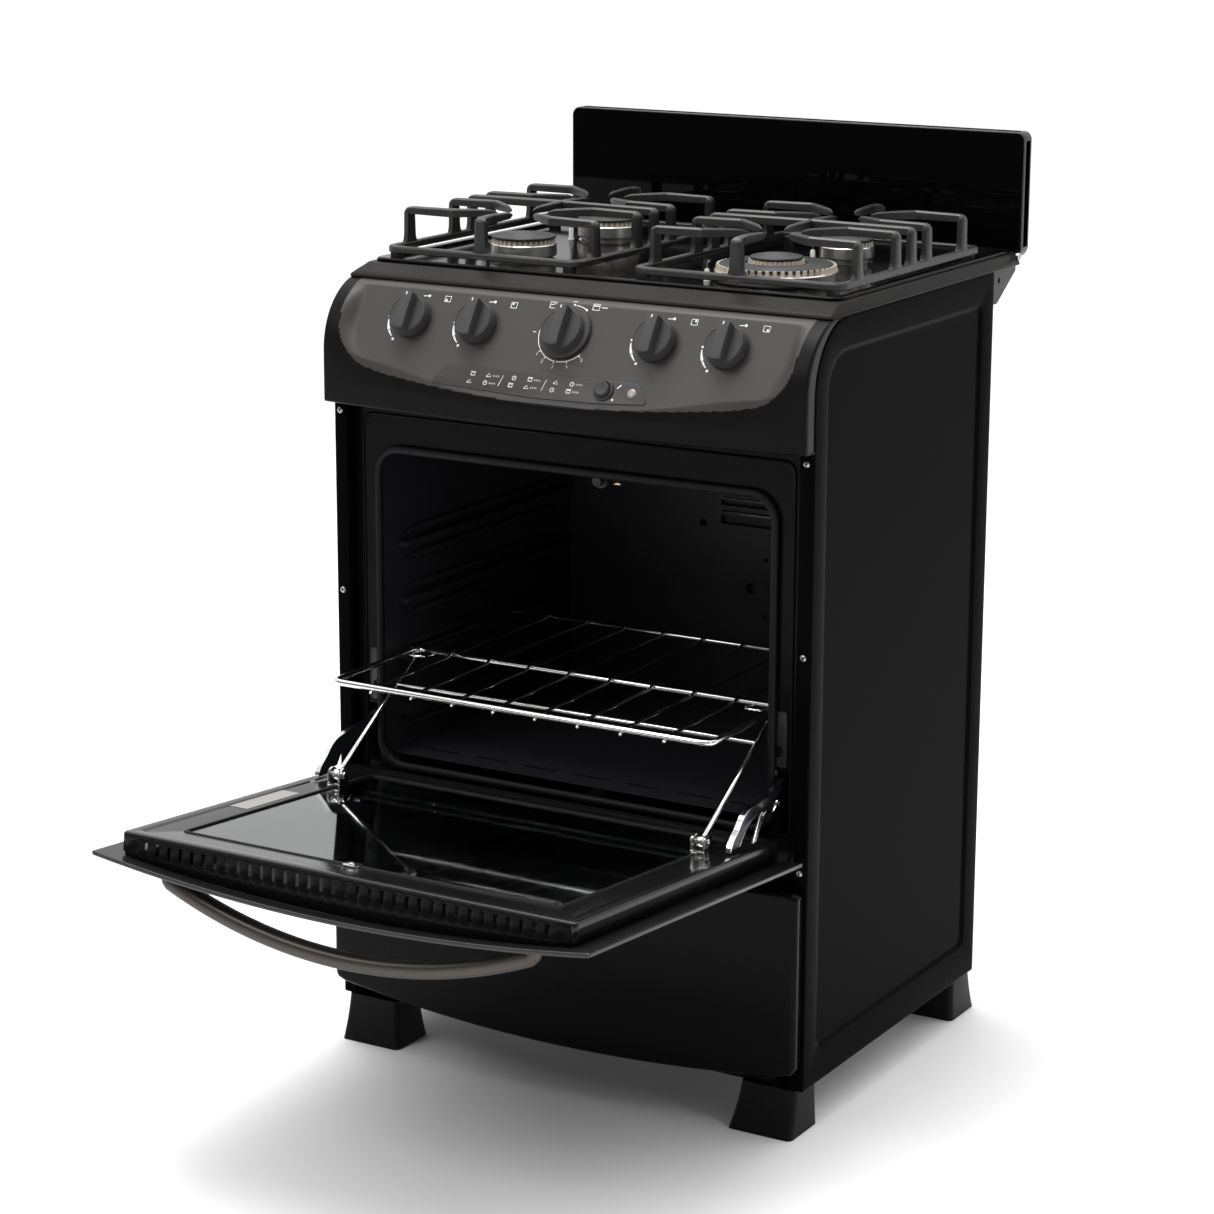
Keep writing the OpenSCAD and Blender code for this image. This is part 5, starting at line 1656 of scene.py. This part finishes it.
        ring = ring_solid(
            [(2.6, -1.4), (4.6, -1.4), (5.0, 0), (4.6, 1.4), (2.6, 1.4)], 24
        ).turned(TO_RIGHT, (267.4, -228, 376))
        both_sides(link, hook, ring).place(
            "hinge_link_plates", CHROME, "oven_door", ["hinge_links"], "chrome_wire", 35
        )
        self.brackets()

    def brackets(self) -> None:
        """Two-eared brackets, each with a headed pin and a screw beside it."""
        ear = np.array(
            [
                (-334, 343.8), (-316, 345.4), (-317, 357), (-319.5, 361), (-325, 363), (-330.5, 361),
                (-333, 357)
            ],
            float
        )
        ears = [slab(ear, 0, 2.2, 0.5, 2).turned(TO_RIGHT, (x, 0, 0)) for x in (221.6, 236.2)]
        foot = slab(rounded_box(221.6, 238.4, -335, -315, 2, 4), 343.4, 346.6, 0.6, 2)
        pin = join(
            [
                revolve([(0, 0), (2.5, 0), (2.5, 18.2), (0, 18.2)], 24),
                revolve([(0, -2), (4.2, -2), (4.6, -1), (4.2, 0), (0, 0)], 24),
                revolve([(0, 18), (3.6, 18), (3.8, 19), (2.6, 19.8), (0, 20)], 24)
            ]
        ).turned(TO_RIGHT, (220.6, -325, 355))
        screw = revolve([(0, 346), (3.2, 346), (3.0, 347.4), (1.2, 348), (0, 347.7)], 20).moved(230, -340)
        both_sides(*ears, foot, pin, screw).place(
            "rod_brackets_bright", CHROME, "oven_door", ["rod_brackets"], "chrome_wire", 35
        )


@dataclass
class Drawer:
    """The storage drawer's pressed front, its box keeping its plain shape."""

    half: float = 298.5
    top: float = 283.0
    low: float = 76.0
    sag: float = 14.0

    def bottom(self, x: np.ndarray) -> np.ndarray:
        """Height of the lower edge: an arc that sags at the middle."""
        r = (self.half**2 + self.sag**2) / (2 * self.sag)
        return self.low - self.sag + r - np.sqrt(r * r - np.asarray(x) ** 2)

    def build(self) -> None:
        """Makes the front as a sheet whose four sides roll back on small radii."""
        r = 5.0
        a = np.linspace(0, math.pi / 2, 6)[1:]
        mid = np.linspace(-self.half + r, self.half - r, 72)
        ex, ey = self.half - r + r * np.sin(a), r * (1 - np.cos(a))
        xs = np.concatenate([[-self.half], -ex[::-1], mid, ex, [self.half]])
        xo = np.concatenate([[15.5], ey[::-1], mid * 0, ey, [15.5]])
        corner = 9 * np.clip((np.abs(xs) - (self.half - 9)) / 9, 0, 1) ** 2.2
        low, high = self.bottom(xs) + corner, self.top - corner * 0.7
        ts = np.linspace(0, 1, 14)
        zs = [
            low + 0, *[low + r * (1 - np.sin(t)) for t in a[::-1]],
            *[low + r + (high - low - 2 * r) * t for t in ts], *[high - r * (1 - np.sin(t)) for t in a],
            high + 0
        ]
        zo = np.concatenate([[14], (r * (1 - np.cos(a)))[::-1], ts * 0, r * (1 - np.cos(a)), [14]])
        z = np.array(zs)
        bowed = bow_depth(np.clip(xs, -self.half + 1, self.half - 1))
        rearmost = -226.2
        y = np.minimum(bowed[None] + xo[None, :] + zo[:, None], rearmost)
        x = np.broadcast_to(xs, z.shape)
        sheet(np.stack([x, y, z], -1)).place(
            "drawer_face", GLOSS_BLACK, "drawer", ["drawer_front"], "gloss_black", 50, solidify=1.2
        )


# --- studio and finishes of the plain nodes ---------------------------------


@dataclass(frozen=True)
class Studio:
    """Pale floor, soft lights and the camera."""

    position: tuple = (1.7695, -3.1311, 1.4056)
    yaw: float = 30.518
    down: float = 14.047
    roll: float = 0.1735
    lens: float = 96.05

    def camera(self) -> None:
        """Camera on its stand: yaw about Z, then down, then roll about its own axis."""
        data = bpy.data.cameras.new("camera")
        data.lens, data.sensor_width, data.clip_end = self.lens, 36, 60
        camera = bpy.data.objects.new("camera", data)
        bpy.context.scene.collection.objects.link(camera)
        turn = Matrix.Rotation(math.radians(self.yaw), 4, "Z") @ Matrix.Rotation(
            math.radians(90 - self.down), 4, "X"
        ) @ Matrix.Rotation(math.radians(self.roll), 4, "Z")
        camera.matrix_world = Matrix.Translation(self.position) @ turn
        bpy.context.scene.camera = camera

    def softbox(
        self, name: str, place: Sequence[float], aim: Sequence[float], size: Sequence[float], power: float
    ) -> None:
        """A rectangular light aimed at a point."""
        data = bpy.data.lights.new(name, "AREA")
        data.shape, data.energy = "RECTANGLE", power
        data.size, data.size_y = size
        lamp = bpy.data.objects.new(name, data)
        bpy.context.scene.collection.objects.link(lamp)
        way = Matrix.Translation(place).to_translation() - Matrix.Translation(aim).to_translation()
        lamp.matrix_world = Matrix.Translation(place) @ way.to_track_quat("Z", "Y").to_matrix().to_4x4()

    def sky(self) -> None:
        """A plain sky, white behind the range, dim in front of it and brighter overhead, so that it
        lights like a big soft tent."""
        world = bpy.data.worlds.new("studio_sky")
        world.use_nodes = True
        tree = world.node_tree
        tree.nodes["Background"].inputs["Color"].default_value = (1, 1, 1, 1)
        place = tree.nodes.new("ShaderNodeTexCoord")
        total = tree.nodes.new("ShaderNodeMath")
        ramps = (((-0.35, 0.94, 0.0), -0.3, 0.5, 0.13, 1.02), ((0.0, 0.0, 1.0), 0.35, 0.95, 0.0, 1.3))
        for k, (way, low, high, dim, bright) in enumerate(ramps):
            along = tree.nodes.new("ShaderNodeVectorMath")
            along.operation = "DOT_PRODUCT"
            along.inputs[1].default_value = way
            tree.links.new(place.outputs["Generated"], along.inputs[0])
            level = tree.nodes.new("ShaderNodeMapRange")
            level.interpolation_type = "SMOOTHSTEP"
            level.inputs["From Min"].default_value, level.inputs["From Max"].default_value = low, high
            level.inputs["To Min"].default_value, level.inputs["To Max"].default_value = dim, bright
            tree.links.new(along.outputs["Value"], level.inputs["Value"])
            tree.links.new(level.outputs[0], total.inputs[k])
        tree.links.new(total.outputs[0], tree.nodes["Background"].inputs["Strength"])
        bpy.context.scene.world = world

    def build(self) -> None:
        """Makes the floor, lights, sky and camera, and shows colours without a film curve."""
        bpy.context.scene.view_settings.view_transform = "Standard"
        reach = 9.0
        corners = [(-reach, -reach, 0), (reach, -reach, 0), (reach, reach, 0), (-reach, reach, 0)]
        mesh = bpy.data.meshes.new("studio_floor")
        mesh.from_pydata(corners, [], [[0, 1, 2, 3]])
        mesh.materials.append(PAPER.material())
        plane = bpy.data.objects.new("studio_floor", mesh)
        bpy.context.scene.collection.objects.link(plane)
        self.sky()
        self.softbox("key", (-1.9, -3.4, 3.6), (0, -0.2, 0.7), (1.6, 1.6), 48)
        self.softbox("overhead", (-0.4, -0.3, 3.4), (0, 0, 0.9), (2.0, 1.4), 80)
        self.softbox("right_strip", (3.4, -1.0, 1.9), (0.2, 0, 0.7), (0.4, 2.0), 14)
        self.camera()


PLAIN = {
    "base_frame": FRAME_BLACK,
    "front_frame": FRAME_BLACK,
    "back_panel": GALVANISED,
    "oven_liner": OVEN_ENAMEL,
    "oven_floor": OVEN_ENAMEL,
    "oven_burner": BURNER_STEEL,
    "broiler_burner": BURNER_STEEL,
    "insulation": WOOL,
    "hinge_receivers": GALVANISED,
    "valve_bodies": BRASS,
    "gas_manifold": GALVANISED,
    "feed_tubes": ALUMINIUM,
    "backguard_shell": CHARCOAL,
    "rear_gussets": CHARCOAL,
    "drawer_box": GALVANISED,
    "drawer_runners": GALVANISED,
    **{f"stem_{k}": BRASS for k in range(1, 6)},
}


def dress_plain_nodes() -> None:
    """Gives the nodes that keep their CAD shape their finishes."""
    for name, finish in PLAIN.items():
        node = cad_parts[name]
        node.data.materials.clear()
        node.data.materials.append(finish.material())


def main() -> None:
    """Builds every sub-assembly, then the studio."""
    logging.basicConfig(level=logging.INFO, format="%(name)s: %(message)s")
    dress_plain_nodes()
    slope = Slope()
    panel = ControlPanel(slope)
    panel.build()
    for k, x in enumerate(panel.knob_x, 1):
        middle = k == 3
        Knob(k, x, panel, d=48.0 if middle else 45.0, skirt=30.0 if middle else 0.0).build()
    Cooktop().build()
    for side, x in (("left", -160.0), ("right", 160.0)):
        Grate(side, x).build()
    Backguard().build()
    Cabinet().build()
    Oven().build()
    Rack().build()
    Door().build()
    Drawer().build()
    Studio().build()
    bpy.context.view_layer.update()


if __name__ == "__main__":
    main()
